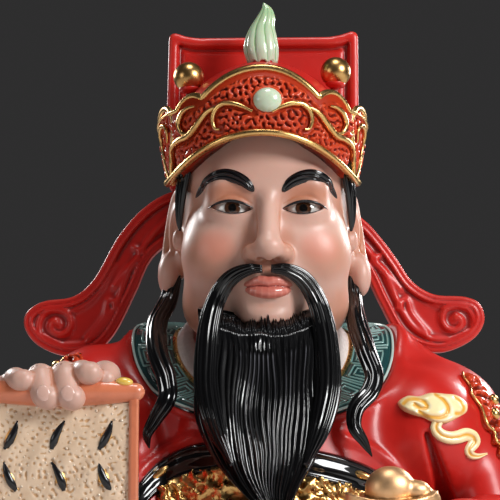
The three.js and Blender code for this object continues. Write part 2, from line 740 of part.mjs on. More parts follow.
function scroll() {
  const half = wide(scrollWidth) / 2;
  const thick = wide(scrollThickness);
  const [left, right] = [scrollMiddle - half, scrollMiddle + half];
  const sheet = [[left, -4], [right, -4], [right, scrollTop + 1], [left, scrollTop + 1]];
  const rodPath = [-1, -0.5, 0, 0.5, 1].map((t) => [scrollMiddle + t * (half + rodOverhang), ...rodPlace]);
  const rounding = (t) => Math.sqrt(Math.min(t, 1 - t) * 12);
  const rodEnd = (t) => (wide(rodDiameter) / 2) * Math.min(1, 0.6 + 0.4 * rounding(t));
  return join([
    tray(sheet, scrollFront + thick, thick, wide(scrollFrame), wide(scrollRelief)),
    strand(rodPath, 6, 6, rodEnd),
    scrollStrokes(left + wide(scrollFrame), right - wide(scrollFrame)),
  ]);
}

// Rows of slanting brush strokes on the scroll.
const strokeRows = [28.5, 17.5, 6.5];
const strokesInRow = 3;
const strokeHalf = 3.8;
const strokeSlant = 1.7;

function scrollStrokes(left, right) {
  const bars = [];
  strokeRows.forEach((z, row) => {
    for (let i = 0; i < strokesInRow; i += 1) {
      const x = mix(left, right, (i + 0.5) / strokesInRow);
      const slant = row % 2 ? -strokeSlant : strokeSlant;
      const ends = [-1, 0, 1].map((t) => [x + t * slant, scrollFront, z + t * strokeHalf]);
      bars.push(strand(ends, 3, 2, tapered(1.5, 0.5), even(wide(scrollRelief))));
    }
  });
  return join(bars);
}

// The hand grips the rod from behind: little finger, ring, middle, index, and the thumb beside them.
// along is a finger's place on the rod, over is how far its tip reaches down, and size is its thickness.
const fingers = [
  { along: -12.8, over: 1.5, size: 0.9 },
  { along: -5.4, over: 6.5, size: 1 },
  { along: 1.4, over: 6.5, size: 1.02 },
  { along: 7.6, over: 0.5, size: 0.96 },
];
const fingerSides = 5;

function hand() {
  const rodTop = rodPlace[1] + wide(rodDiameter) / 2;
  const made = fingers.map(({ along, over, size }) => {
    const r = (wide(fingerDiameter) / 2) * size;
    const x = scrollMiddle + along;
    const points = [
      [x, scrollFront + 16, rodTop - 8],
      [x, scrollFront + 11, rodTop + r * 0.4],
      [x, scrollFront + 1, rodTop + r * 0.8],
      [x, scrollFront - r * 0.9, rodTop - 2 - over * 0.3],
      [x, scrollFront - r * 0.8, rodTop - 4.5 - over],
    ];
    const width = profile([[0, r], [0.9, r], [1, r * 0.6]]);
    return strand(points, fingerSides, 4, width, (t) => width(t) * 0.9, [1, 0, 0]);
  });
  const thumbPath = [[5.6, 16, -9], [11.2, 12, -1], [13, 7, 2.6], [13.2, 1, 0]].map(
    ([along, back, up]) => [scrollMiddle + along, scrollFront + back, rodTop + up],
  );
  const radius = wide(fingerDiameter) / 2;
  const thumbWidth = profile([[0, radius], [0.85, radius], [1, radius * 0.55]]);
  const thumb = strand(thumbPath, fingerSides, 4, thumbWidth, thumbWidth, [1, 0, 0]);
  const palmMiddle = [scrollMiddle - 1.4, scrollFront + 17, scrollTop - 5.5];
  const palm = cast(ellipsoid(palmMiddle, [15, 8, 13]), palmMiddle, 30, 9, 4);
  return join([...made, thumb, palm]);
}

// The ingot: a dome in a boat whose ends turn up.
const ingotMiddle = [31.5, -73];
const ingotRise = 13;

function ingot() {
  const half = wide(ingotLength) / 2;
  const [x0, y0] = ingotMiddle;
  const boat = rings(8, 7, (u, v) => {
    const along = mix(-1, 1, v);
    const girth = 1.2 + 6.4 * Math.sqrt(Math.max(0, 1 - along ** 2));
    const [side, up] = [Math.sin(TAU * u), Math.cos(TAU * u)];
    const height = up > 0 ? 1.4 : 4.5 + girth * 0.4;
    return [x0 + along * half, y0 + side * girth, ingotRise - 3 + 4.5 * along ** 2 + up * height];
  });
  const domeMiddle = [x0 - 1, y0, ingotRise + 1];
  return boat.add(cast(ellipsoid(domeMiddle, [6.8, 6.2, 7]), domeMiddle, 12, 9, 4));
}

// The open hand that bears the ingot, mostly below the cut.
function lowHand() {
  const [x, y] = ingotMiddle;
  const palm = ellipsoid([x, y + 7, 2], [14, 15, 7]);
  const wrist = limb([x - 0.5, y + 11, 0], 9, [50, -52, -4], 11);
  return cast(melt(4, palm, wrist), [x + 2.5, y + 9, 1], 50, 10, 5);
}

// Everything is one casting, cut off flat below.
function figure() {
  const sides = [-1, 1];
  const whole = join([
    head(),
    neck(),
    lips(),
    ...[ear, brow, eyelid, sideburn, moustache, flap, curlOnCrown].flatMap((make) => sides.map(make)),
    napeHair(),
    ...lockPaths.map(lock),
    beard(),
    cap(),
    crown(),
    jade(),
    flame(),
    ...ballPlaces.map(goldBall),
    panel(),
    ...[leftWing, rightWing].map(wing),
    robe(),
    scrollSleeve(),
    ingotSleeve(),
    collar(),
    strap(),
    bellyPlate(),
    cloud(),
    ...guards.map(sleeveGuard),
    scroll(),
    hand(),
    lowHand(),
    ingot(),
  ]);
  const below = new THREE.BoxGeometry(3 * bustHeight, 3 * bustHeight, bustHeight);
  below.translate(0, 0, -bustHeight / 2);
  return whole.subtract(solidOf(below));
}

function meshOf(name, solid, material) {
  const { numProp, vertProperties, triVerts } = solid.getMesh();
  const corners = new Float32Array((vertProperties.length / numProp) * 3);
  for (let i = 0; i < corners.length / 3; i += 1) {
    corners.set(vertProperties.subarray(i * numProp, i * numProp + 3), i * 3);
  }
  const geometry = new THREE.BufferGeometry();
  geometry.setAttribute('position', new THREE.BufferAttribute(corners, 3));
  geometry.setIndex(new THREE.BufferAttribute(triVerts, 1));
  geometry.computeVertexNormals();
  const mesh = new THREE.Mesh(geometry, material);
  mesh.name = name;
  return mesh;
}

const redGlaze = new THREE.MeshStandardMaterial({ color: 0xb01c16, roughness: 0.25, metalness: 0 });

const bust = new THREE.Group();
bust.add(meshOf('figure', figure(), redGlaze));

export default bust;
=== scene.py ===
# The looks of a glazed porcelain bust of a god of wealth, over its cast solid.
# Sizes and places are millimetres in the solid's frame (+Z up, the face looks along -Y), and every mesh
# is turned into metres as it is made.
import math

import bpy
import numpy as np
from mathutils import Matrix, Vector


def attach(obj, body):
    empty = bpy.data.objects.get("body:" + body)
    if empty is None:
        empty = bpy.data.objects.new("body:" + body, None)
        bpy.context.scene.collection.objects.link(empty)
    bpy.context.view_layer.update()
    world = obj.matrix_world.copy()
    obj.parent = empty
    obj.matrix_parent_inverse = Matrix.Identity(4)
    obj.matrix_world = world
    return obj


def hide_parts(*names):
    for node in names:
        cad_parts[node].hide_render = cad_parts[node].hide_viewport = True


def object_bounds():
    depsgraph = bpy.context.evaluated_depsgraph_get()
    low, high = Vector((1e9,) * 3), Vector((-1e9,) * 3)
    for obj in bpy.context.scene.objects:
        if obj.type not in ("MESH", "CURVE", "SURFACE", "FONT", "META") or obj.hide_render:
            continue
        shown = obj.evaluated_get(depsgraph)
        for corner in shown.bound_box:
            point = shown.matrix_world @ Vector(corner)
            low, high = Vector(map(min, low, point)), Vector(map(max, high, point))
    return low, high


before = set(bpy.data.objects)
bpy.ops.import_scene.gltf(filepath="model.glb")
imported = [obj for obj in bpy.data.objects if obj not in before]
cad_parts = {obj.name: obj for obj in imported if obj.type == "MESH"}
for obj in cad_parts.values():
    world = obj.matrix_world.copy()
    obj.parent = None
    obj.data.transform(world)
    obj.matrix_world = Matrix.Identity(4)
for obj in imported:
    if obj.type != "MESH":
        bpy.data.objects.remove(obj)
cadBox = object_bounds()

castSolid = "figure"          # the node that every piece here stands for
metre = 1000.0
fullTurn = 2 * math.pi
triangleCount = {}


# Small maths

def mix(a, b, t):
    return a + (b - a) * t


def smooth(t):
    t = np.clip(t, 0, 1)
    return t * t * (3 - 2 * t)


def unit(vectors):
    return vectors / np.maximum(np.linalg.norm(vectors, axis=-1, keepdims=True), 1e-9)


def hermite(places, values, slopes, t):
    i = np.clip(np.searchsorted(places, t, side="right") - 1, 0, len(places) - 2)
    gap = places[i + 1] - places[i]
    s = (t - places[i]) / gap
    if values.ndim > 1:
        gap, s = gap[..., None], s[..., None]
    bend = slopes[i] * s * (1 - s) ** 2 - slopes[i + 1] * s * s * (1 - s)
    return values[i] * (1 - smooth(s)) + values[i + 1] * smooth(s) + gap * bend


# a smooth curve through (place, value) pairs
def profile(pairs):
    places, values = np.array(pairs, float).T
    slopes = np.gradient(values, places)
    return lambda t: hermite(places, values, slopes, np.clip(t, places[0], places[-1]))


# an even walk along a smooth curve through a few points
def smoothPath(points, steps, loop=False):
    points = np.array(points, float)
    count = len(points)
    if loop:
        points = np.vstack([points[-3:], points, points[:3]])
    places = np.concatenate([[0], np.cumsum(np.linalg.norm(np.diff(points, axis=0), axis=1) ** 0.5)])
    start, end = (places[3], places[3 + count]) if loop else (places[0], places[-1])
    fine = hermite(places, points, np.gradient(points, places, axis=0), np.linspace(start, end, 40 * count))
    walked = np.concatenate([[0], np.cumsum(np.linalg.norm(np.diff(fine, axis=0), axis=1))])
    stops = np.linspace(0, walked[-1], steps, endpoint=not loop)
    return np.stack([np.interp(stops, walked, fine[:, axis]) for axis in range(fine.shape[1])], -1)


# a sum of waves in every direction, all of one length: its hills are worms, its dales are pits
def worms(places, length, seed):
    waves = 44
    dice = np.random.default_rng(seed)
    way = dice.normal(size=(waves, places.shape[-1]))
    way *= fullTurn / length / np.linalg.norm(way, axis=1, keepdims=True)
    shift = dice.uniform(0, fullTurn, waves)
    total = sum(np.cos(places @ w + s) for w, s in zip(way, shift))
    return total / math.sqrt(waves / 2)


# Rounded forms as distances: negative inside, positive outside

def ellipsoid(middle, radii):
    middle, radii = np.array(middle, float), np.array(radii, float)

    def form(p):
        q = (p - middle) / radii
        out = np.linalg.norm(q, axis=-1)
        return out * (out - 1) / np.maximum(np.linalg.norm(q / radii, axis=-1), 1e-6)

    return form


# how far points lie from a straight stretch, and how far along it they are
def fromStretch(p, a, b):
    run = b - a
    t = np.clip((p - a) @ run / (run @ run), 0, 1)
    return np.linalg.norm(p - a - t[..., None] * run, axis=-1), t


def limb(a, radiusA, b, radiusB):
    a, b = np.array(a, float), np.array(b, float)

    def form(p):
        away, t = fromStretch(p, a, b)
        return away - mix(radiusA, radiusB, t)

    return form


def chain(path, radii):
    radii = np.broadcast_to(radii, len(path))
    links = [limb(path[i], radii[i], path[i + 1], radii[i + 1]) for i in range(len(path) - 1)]
    return lambda p: np.minimum.reduce([link(p) for link in links])


def paired(form):
    return lambda p: form(p * np.where(p[..., :1] < 0, [-1.0, 1, 1], [1.0, 1, 1]))


def softMin(softness, a, b):
    return np.minimum(a, b) - np.maximum(softness - np.abs(a - b), 0) ** 2 / softness / 4


def melt(softness, *forms):
    def form(p):
        total = forms[0](p)
        for other in forms[1:]:
            total = softMin(softness, total, other(p))
        return total

    return form


def hollow(softness, form, tool):
    return lambda p: -softMin(softness, -form(p), tool(p))


def within(form, y=None, z=None):
    def cut(p):
        total = form(p)
        for axis, limits in ((1, y), (2, z)):
            if limits:
                total = np.maximum(total, np.maximum(limits[0] - p[..., axis], p[..., axis] - limits[1]))
        return total

    return cut


# which way a form falls off fastest, at each point
def slopeOf(form, p):
    step = 0.1
    return np.stack([form(p + way) - form(p - way) for way in np.eye(3) * step], -1) / (2 * step)


walkPlan = {"start": -110.0, "steps": 120, "share": 0.8, "back": -1, "forward": 12}


# the first meeting of a straight way along +Y with a form
def frontOf(form, x, z, rise=0.0):
    plan = walkPlan
    x, z = np.broadcast_arrays(np.asarray(x, float), np.asarray(z, float))
    p = np.stack([x, np.full(x.shape, plan["start"]), z], -1)
    for _ in range(plan["steps"]):
        p[..., 1] += np.clip(form(p), plan["back"], plan["forward"]) * plan["share"]
    p[..., 1] -= rise
    return p


# a smooth path through flat points (x, z), laid on the front of a form
def laidOn(form, flat, steps, rise=0.0):
    drawn = smoothPath(flat, steps)
    return frontOf(form, drawn[:, 0], drawn[:, 1], rise)


# unit ways out of a middle: one ring of them for each tilt away from the pole, which is +Z at first
def roundWays(around, tilts, order=(0, 1, 2), signs=(1, 1, 1)):
    u, tilt = np.meshgrid(np.arange(around) / around, tilts)
    turn = fullTurn * u
    parts = np.sin(tilt) * np.cos(turn), np.sin(tilt) * np.sin(turn), np.cos(tilt)
    return np.stack([parts[axis] * sign for axis, sign in zip(order, signs)], -1)


facingFront = {"order": (0, 2, 1), "signs": (1, -1, 1)}
seamInFront = {"order": (1, 0, 2), "signs": (1, -1, 1)}


# Shells: points, faces with four and three corners, and marks, which are values for the finishes

def shellOf(points, faces, **marks):
    return {"points": points, "faces": faces, "marks": marks}


# several shells in one, each with its faces turned outwards
def together(*shells):
    start, faces = 0, []
    for shell in shells:
        step = -1 if volumeOf(shell["points"], shell["faces"]) < 0 else 1
        faces += [part[:, ::step] + start for part in shell["faces"]]
        start += len(shell["points"])
    marks = {name: np.concatenate([shell["marks"][name] for shell in shells]) for name in shells[0]["marks"]}
    return shellOf(np.vstack([shell["points"] for shell in shells]), faces, **marks)


# a skin of rings, grid[row, place on the ring], with its two ends closed by fans, or joined in a loop
def ringShell(grid, loop=False, **marks):
    rows, around = grid.shape[:2]
    ids = np.arange(rows * around).reshape(rows, around)
    beside = np.roll(ids, -1, axis=1)
    upper, upperBeside = np.roll(ids, -1, axis=0), np.roll(beside, -1, axis=0)
    quads = np.stack([ids, beside, upperBeside, upper], -1)
    points = grid.reshape(-1, 3)
    marks = {name: np.broadcast_to(value, (rows, around)).ravel() for name, value in marks.items()}
    if loop:
        return shellOf(points, [quads.reshape(-1, 4)], **marks)
    foot, head = np.full(around, rows * around), np.full(around, rows * around + 1)
    fans = np.vstack([np.stack([beside[0], ids[0], foot], -1), np.stack([ids[-1], beside[-1], head], -1)])
    marks = {name: np.append(value, [value[0], value[-1]]) for name, value in marks.items()}
    ends = grid[[0, -1]].mean(axis=1)
    return shellOf(np.vstack([points, ends]), [quads[:-1].reshape(-1, 4), fans], **marks)


# a carved front closed by a plain rear, with the front's pits marked; the carved and scroll glazes darken
# them as painted shade, and the cloud's glaze paints them yellow
def backed(front, rear, pit, axis=0):
    marks = np.concatenate([pit, np.zeros(rear.shape[:2])], axis=axis)
    return ringShell(np.concatenate([front, rear], axis=axis), pit=marks)


# the skin of a form: a point in each small box that the form passes through, drawn onto the form
def skin(form, low, high, cell, flatFoot=False):
    margin, stride, batch = 2, 6, 400000        # round the box, in millimetres; coarse step; points at a time
    low, high = np.array(low, float) - margin, np.array(high, float) + margin
    if flatFoot:
        low[2] = -cell / 2
        form = within(form, z=(0, 1000))
    blocks = np.ceil((high - low) / cell / stride).astype(int)
    nodes = [low[axis] + ((np.arange(blocks[axis]) + 0.5) * stride - 0.5) * cell for axis in range(3)]
    coarse = form(np.stack(np.meshgrid(*nodes, indexing="ij"), -1))
    near = np.abs(coarse) < 1.7 * stride * cell
    for axis in range(3):
        coarse, near = coarse.repeat(stride, axis), near.repeat(stride, axis)
    spots = np.argwhere(near)
    field = coarse
    for part in np.array_split(np.arange(len(spots)), max(1, len(spots) // batch)):
        places = spots[part]
        field[tuple(places.T)] = form(low + places * cell)
    inside = field < 0
    size = np.array(field.shape)
    crossings, quads = [], []
    for axis in range(3):
        here = [slice(None)] * 3
        there = [slice(None)] * 3
        here[axis], there[axis] = slice(0, -1), slice(1, None)
        here, there = tuple(here), tuple(there)
        edges = np.argwhere(inside[here] != inside[there])
        a, b = field[here][tuple(edges.T)], field[there][tuple(edges.T)]
        crossing = edges.astype(float)
        crossing[:, axis] += a / (a - b)
        second, third = (axis + 1) % 3, (axis + 2) % 3
        corners = []
        for back, down in ((0, 0), (1, 0), (1, 1), (0, 1)):
            box = edges.copy()
            box[:, second] -= back
            box[:, third] -= down
            corners.append(np.ravel_multi_index(box.T, size))
        corners = np.stack(corners, 1)
        corners[a > 0] = corners[a > 0][:, ::-1]
        quads.append(corners)
        crossings.append(crossing)
    quads, crossings = np.vstack(quads), np.vstack(crossings)
    boxes, index = np.unique(quads, return_inverse=True)
    index = index.reshape(quads.shape)
    shares = np.bincount(index.ravel(), minlength=len(boxes))
    points = np.stack([
        np.bincount(index.ravel(), np.repeat(crossings[:, axis], 4), len(boxes)) / shares for axis in range(3)
    ], -1) * cell + low
    free = points[:, 2] > cell if flatFoot else np.full(len(points), True)
    for _ in range(2):
        moving = points[free]
        gap = form(moving)
        slope = slopeOf(form, moving)
        push = gap[:, None] * slope / np.maximum((slope**2).sum(-1, keepdims=True), 0.2)
        points[free] = moving - np.clip(push, -cell, cell)
    return shellOf(points, [index])


# how hollow (above 0) or ridged (below 0) the skin is at each point, per millimetre
def creaseOf(points, faces, normals, rounds=2):
    pairs = np.vstack([np.stack([part[:, i], part[:, (i + 1) % part.shape[1]]], -1)
                       for part in faces for i in range(part.shape[1])])
    a, b = np.concatenate([pairs, pairs[:, ::-1]]).T
    count = np.maximum(np.bincount(a, minlength=len(points)), 1)
    lean = np.zeros((len(points), 3))
    for axis in range(3):
        lean[:, axis] = np.bincount(a, points[b, axis], len(points)) / count - points[:, axis]
    reach = np.bincount(a, ((points[a] - points[b]) ** 2).sum(-1), len(points)) / count
    crease = 2 * (lean * normals).sum(-1) / np.maximum(reach, 1e-4)
    for _ in range(rounds):
        crease = (crease + np.bincount(a, crease[b], len(points)) / count) / 2
    return np.clip(crease, -1, 1)


def facing(points, faces):
    normals = np.zeros_like(points)
    for part in faces:
        first, second = ((0, 2), (1, 3)) if part.shape[1] == 4 else ((0, 1), (0, 2))
        across, other = (points[part[:, b]] - points[part[:, a]] for a, b in (first, second))
        turn = np.cross(across, other)
        for corner in range(part.shape[1]):
            for axis in range(3):
                normals[:, axis] += np.bincount(part[:, corner], turn[:, axis], len(points))
    return unit(normals)


def volumeOf(points, faces):
    total = 0.0
    for part in faces:
        for i in range(1, part.shape[1] - 1):
            a, b, c = points[part[:, 0]], points[part[:, i]], points[part[:, i + 1]]
            total += (a * np.cross(b, c)).sum() / 6
    return total


def spotsOf(mesh):
    spots = np.zeros(len(mesh.vertices) * 3, np.float32)
    mesh.vertices.foreach_get("co", spots)
    return spots.reshape(-1, 3)


def placeSpots(mesh, spots):
    mesh.vertices.foreach_set("co", spots.astype(np.float32).ravel())


def setMark(mesh, label, values):
    mark = mesh.attributes.new(label, "FLOAT", "POINT")
    mark.data.foreach_set("value", np.asarray(values, np.float32))


def finishPiece(piece, slotName):
    piece.data.calc_loop_triangles()
    triangleCount[piece.name] = len(piece.data.loop_triangles)
    spots = spotsOf(piece.data)
    if spots[:, 2].min() < 0:
        spots[:, 2] = np.maximum(spots[:, 2], 0)          # everything is cut off flat with the figure
        placeSpots(piece.data, spots)
    over = np.concatenate([np.array(cadBox[0]) - spots.min(axis=0), spots.max(axis=0) - np.array(cadBox[1])])
    allowed = 5e-5
    if over.max() > allowed:
        print("outside the solid's box:", piece.name, "mm:", np.round(over * metre, 2))
    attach(piece, "root")
    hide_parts(castSolid)
    return piece


def addPiece(name, shell, look):
    points, faces = shell["points"], [part for part in shell["faces"] if len(part)]
    if volumeOf(points, faces) < 0:
        faces = [part[:, ::-1] for part in faces]
    mesh = bpy.data.meshes.new(name)
    mesh.vertices.add(len(points))
    placeSpots(mesh, points / metre)
    corners = np.concatenate([part.ravel() for part in faces]).astype(np.int32)
    sizes = np.concatenate([np.full(len(part), part.shape[1]) for part in faces])
    mesh.loops.add(len(corners))
    mesh.loops.foreach_set("vertex_index", corners)
    mesh.polygons.add(len(sizes))
    mesh.polygons.foreach_set("loop_start", np.concatenate([[0], np.cumsum(sizes)[:-1]]).astype(np.int32))
    mesh.update(calc_edges=True)
    mesh.validate()
    marks = dict(shell["marks"])
    marks["crease"] = creaseOf(points, faces, facing(points, faces))
    for label, values in marks.items():
        setMark(mesh, label, values)
    mesh.shade_smooth()
    mesh.materials.append(finishes[look])
    piece = bpy.data.objects.new(name, mesh)
    bpy.context.scene.collection.objects.link(piece)
    return finishPiece(piece, slotNames[look])


# the box and the cell of each piece that is the skin of a form
skinBoxes = {
    "face_and_neck": ((-37, -41, 48), (37, 15, 126), 0.55),
    "robe": ((-92, -48, 0), (96, 46, 66), 1.15),
    "scroll_sleeve": ((-92, -72, 0), (-44, 14, 40), 1.3),
    "ingot_sleeve": ((30, -76, 0), (97, 14, 24), 1.3),
    "belly_plate": ((-34, -51, 0), (32, 8, 24), 0.8),
    "gripping_hand": ((-80, -88, 16), (-36, -44, 52), 0.5),
    "low_hand": ((14, -84, 0), (64, -38, 14), 0.7),
}


# a box that starts at the floor is cut flat there
def addSkin(name, form, look):
    low, high, cell = skinBoxes[name]
    addPiece(name, skin(form, low, high, cell, flatFoot=low[2] == 0), look)


# a strand along a path: section(u, v) gives how far each point of a ring lies sideways and outwards
def strand(path, sides, section, outwards=(0, -1, 0), **marks):
    way = unit(np.gradient(path, axis=0))
    side = unit(np.cross(way, np.broadcast_to(np.array(outwards, float), path.shape)))
    up = np.cross(side, way)
    u, v = np.meshgrid(np.arange(sides) / sides, np.linspace(0, 1, len(path)))
    across, out = section(u, v)
    grid = path[:, None] + side[:, None] * across[..., None] + up[:, None] * out[..., None]
    marks = {name: mark(u, v) for name, mark in marks.items()}
    return ringShell(grid, **marks)


# a round section whose radius changes along the path, and which may be flatter outwards
def roundSection(radius, flat=1.0):
    return lambda u, v: (radius(v) * np.cos(fullTurn * u), radius(v) * flat * np.sin(fullTurn * u))


# Node trees: one wrapper for the glazes and for the geometry trees

class Wire:
    def __init__(self, tree, socket):
        self.tree, self.socket = tree, socket

    def maths(self, operation, *values):
        return self.tree.add("ShaderNodeMath", {"operation": operation}, dict(enumerate(values)))

    def __add__(self, other):
        return self.maths("ADD", self, other)

    def __radd__(self, other):
        return self.maths("ADD", other, self)

    def __sub__(self, other):
        return self.maths("SUBTRACT", self, other)

    def __rsub__(self, other):
        return self.maths("SUBTRACT", other, self)

    def __mul__(self, other):
        return self.maths("MULTIPLY", self, other)

    def __truediv__(self, other):
        return self.maths("DIVIDE", self, other)

    def __pow__(self, other):
        return self.maths("POWER", self, other)

    def __mod__(self, other):
        return self.maths("FLOORED_MODULO", self, other)

    def __abs__(self):
        return self.maths("ABSOLUTE", self)

    # 0 below low, 1 above high, and smooth between them
    def rising(self, low, high):
        ends = {0: self, 1: low, 2: high}
        return self.tree.add("ShaderNodeMapRange", {"interpolation_type": "SMOOTHSTEP"}, ends)


class Tree:
    def __init__(self, nodes):
        self.nodes = nodes

    def add(self, kind, settings=None, values=None, out=0):
        node = self.nodes.nodes.new(kind)
        for name, value in (settings or {}).items():
            setattr(node, name, value)
        for name, value in (values or {}).items():
            if isinstance(value, Wire):
                self.nodes.links.new(value.socket, node.inputs[name])
            else:
                node.inputs[name].default_value = value
        return Wire(self, node.outputs[out])

    def split(self, vector):
        node = self.add("ShaderNodeSeparateXYZ", None, {0: vector}).socket.node
        return [Wire(self, output) for output in node.outputs]


class Glaze(Tree):
    def __init__(self, name):
        self.material = bpy.data.materials.new(name)
        self.material.use_nodes = True
        super().__init__(self.material.node_tree)
        self.nodes.nodes.clear()
        self.place = self.add("ShaderNodeTexCoord", out="Object")
        scaled = self.add("ShaderNodeVectorMath", {"operation": "SCALE"}, {0: self.place, "Scale": metre})
        self.x, self.y, self.z = self.split(scaled)

    def noise(self, size, detail=2.0):
        values = {"Vector": self.place, "Scale": metre / size, "Detail": detail, "Roughness": 0.5}
        return self.add("ShaderNodeTexNoise", {"noise_dimensions": "3D"}, values)

    def mark(self, name):
        return self.add("ShaderNodeAttribute", {"attribute_name": name}, out="Fac")

    def blend(self, factor, first, second):
        settings = {"data_type": "RGBA", "clamp_factor": True}
        return self.add("ShaderNodeMix", settings, {0: factor, 6: first, 7: second}, out=2)

    # 1 at a place and 0 beyond its radii
    def spot(self, middle, radii, mirrored=False):
        x = abs(self.x) if mirrored else self.x
        q = sum(((wire - m) / r) ** 2 for wire, m, r in zip((x, self.y, self.z), middle, radii))
        return 1 - q.rising(0, 1)

    def bump(self, height, depth, strength=1.0):
        values = {"Strength": strength, "Distance": depth / metre, "Height": height}
        return self.add("ShaderNodeBump", None, values)

    def done(self, colour, roughness, normal=None, **plain):
        values = {"Base Color": colour, "Roughness": roughness}
        values.update({name.replace("_", " "): value for name, value in plain.items()})
        if normal:
            values["Normal"] = normal
        shader = self.add("ShaderNodeBsdfPrincipled", None, values)
        end = self.nodes.nodes.new("ShaderNodeOutputMaterial")
        self.nodes.links.new(shader.socket, end.inputs["Surface"])
        return self.material


def rgb(red, green, blue):
    return (red, green, blue, 1.0)


# Glazes

redLook = {"full": rgb(0.56, 0.015, 0.010), "deep": rgb(0.13, 0.002, 0.002), "thinGlazeAndHighlight": rgb(0.78, 0.08, 0.05),
           "waves": 7.0, "gloss": 0.34}


def makeRedGlaze():
    glaze = Glaze("red_glaze")
    crease, cloud = glaze.mark("crease"), glaze.noise(18, 3)
    # darker in the creases: glaze pooled in the hollows, and painted shade there as well
    colour = glaze.blend(crease.rising(0.04, 0.4) * 0.75, redLook["full"], redLook["deep"])
    # paler on the ridges: thinner glaze over the edges, and a painted highlight there as well
    colour = glaze.blend((0 - crease).rising(0.08, 0.6) * 0.3, colour, redLook["thinGlazeAndHighlight"])
    colour = glaze.blend(cloud.rising(0.4, 0.75) * 0.2, colour, redLook["deep"])
    pores = glaze.noise(0.7, 1).rising(0.66, 0.8)
    normal = glaze.bump(glaze.noise(redLook["waves"], 1) - pores * 0.06, 0.35, 0.5)
    return glaze.done(colour, redLook["gloss"] + cloud * 0.12, normal, Specular_IOR_Level=0.32,
                      Coat_Weight=0.26, Coat_Roughness=0.2)


skinLook = {"pale": rgb(0.65, 0.385, 0.305), "warm": rgb(0.50, 0.17, 0.08), "rose": rgb(0.80, 0.24, 0.17)}
# where the airbrush went: middle, radii, strength
skinBlush = [((11.5, -27, 101.5), (10, 9, 5.4), 0.85), ((5.6, -32, 87), (4.2, 7, 9), 0.5),
             ((17, -24, 83), (11, 12, 9), 0.55), ((25, -12, 97), (7, 14, 15), 0.6),
             ((20, -12, 68), (12, 16, 10), 0.65), ((0, -33, 78.6), (7, 6, 2.6), 0.6),
             ((31, 2, 92), (3.6, 6, 13), 0.75), ((0, -20, 58), (26, 18, 9), 0.7)]


def makeSkinGlaze():
    glaze = Glaze("skin_glaze")
    crease = glaze.mark("crease")
    colour = skinLook["pale"]
    for middle, radii, strength in skinBlush:
        colour = glaze.blend(glaze.spot(middle, radii, mirrored=True) * strength, colour, skinLook["warm"])
    cheek = glaze.spot((16, -28, 86), (8, 9, 7), mirrored=True)
    colour = glaze.blend(cheek * 0.35, colour, skinLook["rose"])
    # warm brown in the creases: airbrushed tone, and painted shade there as well
    colour = glaze.blend(crease.rising(0.04, 0.4) * 0.8, colour, skinLook["warm"])
    mottle = glaze.noise(3, 3)
    colour = glaze.blend(mottle.rising(0.5, 0.8) * 0.1, colour, skinLook["rose"])
    normal = glaze.bump(glaze.noise(4, 2), 0.12, 0.4)
    return glaze.done(colour, 0.4 + mottle * 0.1, normal, Coat_Weight=0.22, Coat_Roughness=0.32,
                      Subsurface_Weight=0.12, Subsurface_Scale=0.002)


# a black glaze whose combed ridges may carry a painted highlight, a paler colour on them, up to a height
def makeBlackGlaze(name, edge, coat=1.0, highlightBelow=200.0):
    glaze = Glaze(name)
    crease = glaze.mark("crease")
    # the paler colour on the ridges is a painted highlight
    ridgeHighlight = (0 - crease).rising(0.12, 0.6) * (1 - glaze.z.rising(highlightBelow - 4, highlightBelow))
    colour = glaze.blend(ridgeHighlight, rgb(0.002, 0.002, 0.0025), edge)
    streak = glaze.noise(1.2, 2)
    return glaze.done(colour, 0.26 + streak * 0.1, glaze.bump(streak, 0.03, 0.3),
                      Specular_IOR_Level=0.08, Coat_Weight=coat, Coat_Roughness=0.03)


def makeGold(name="gold_lustre", rough=0.2, full=rgb(0.80, 0.49, 0.18)):
    glaze = Glaze(name)
    crease, wear = glaze.mark("crease"), glaze.noise(2.2, 3)
    # dark brown in the hollows: painted shade
    colour = glaze.blend(crease.rising(0.02, 0.5) * 0.85, full, rgb(0.30, 0.12, 0.03))
    colour = glaze.blend(wear.rising(0.5, 0.8) * 0.3, colour, rgb(0.72, 0.40, 0.13))
    return glaze.done(colour, rough + wear * 0.16, glaze.bump(wear, 0.08, 0.5), Metallic=1.0)


def makeJade():
    glaze = Glaze("jade_glaze")
    crease, cloud = glaze.mark("crease"), glaze.noise(4, 3)
    colour = glaze.blend(glaze.z.rising(150, 167) * 0.7, rgb(0.58, 0.68, 0.50), rgb(0.26, 0.47, 0.20))
    # darker green in the hollows: painted shade
    colour = glaze.blend(crease.rising(0.02, 0.3) * 0.8, colour, rgb(0.17, 0.38, 0.12))
    colour = glaze.blend(cloud.rising(0.5, 0.8) * 0.3, colour, rgb(0.70, 0.82, 0.66))
    return glaze.done(colour, 0.18 + cloud * 0.12, glaze.bump(cloud, 0.1, 0.4),
                      Coat_Weight=0.7, Coat_Roughness=0.05, Subsurface_Weight=0.2, Subsurface_Scale=0.002)


def makeCarvedRed():
    glaze = Glaze("carved_red_glaze")
    pit, crease = glaze.mark("pit"), glaze.mark("crease")
    # dark where the mark is high: painted shade in the carving's pits, along its plain bands and under the
    # crown's rim
    colour = glaze.blend(pit.rising(0.25, 0.9), rgb(0.55, 0.045, 0.012), rgb(0.15, 0.009, 0.002))
    # paler on the ridges: a painted highlight
    colour = glaze.blend((0 - crease).rising(0.2, 0.9) * 0.35, colour, rgb(0.76, 0.14, 0.05))
    grain = glaze.noise(0.9, 2)
    coat = (1 - pit.rising(0.1, 0.7)) * 0.5
    return glaze.done(colour, 0.26 + grain * 0.16, glaze.bump(grain, 0.06, 0.5),
                      Specular_IOR_Level=0.12, Coat_Weight=coat, Coat_Roughness=0.06)


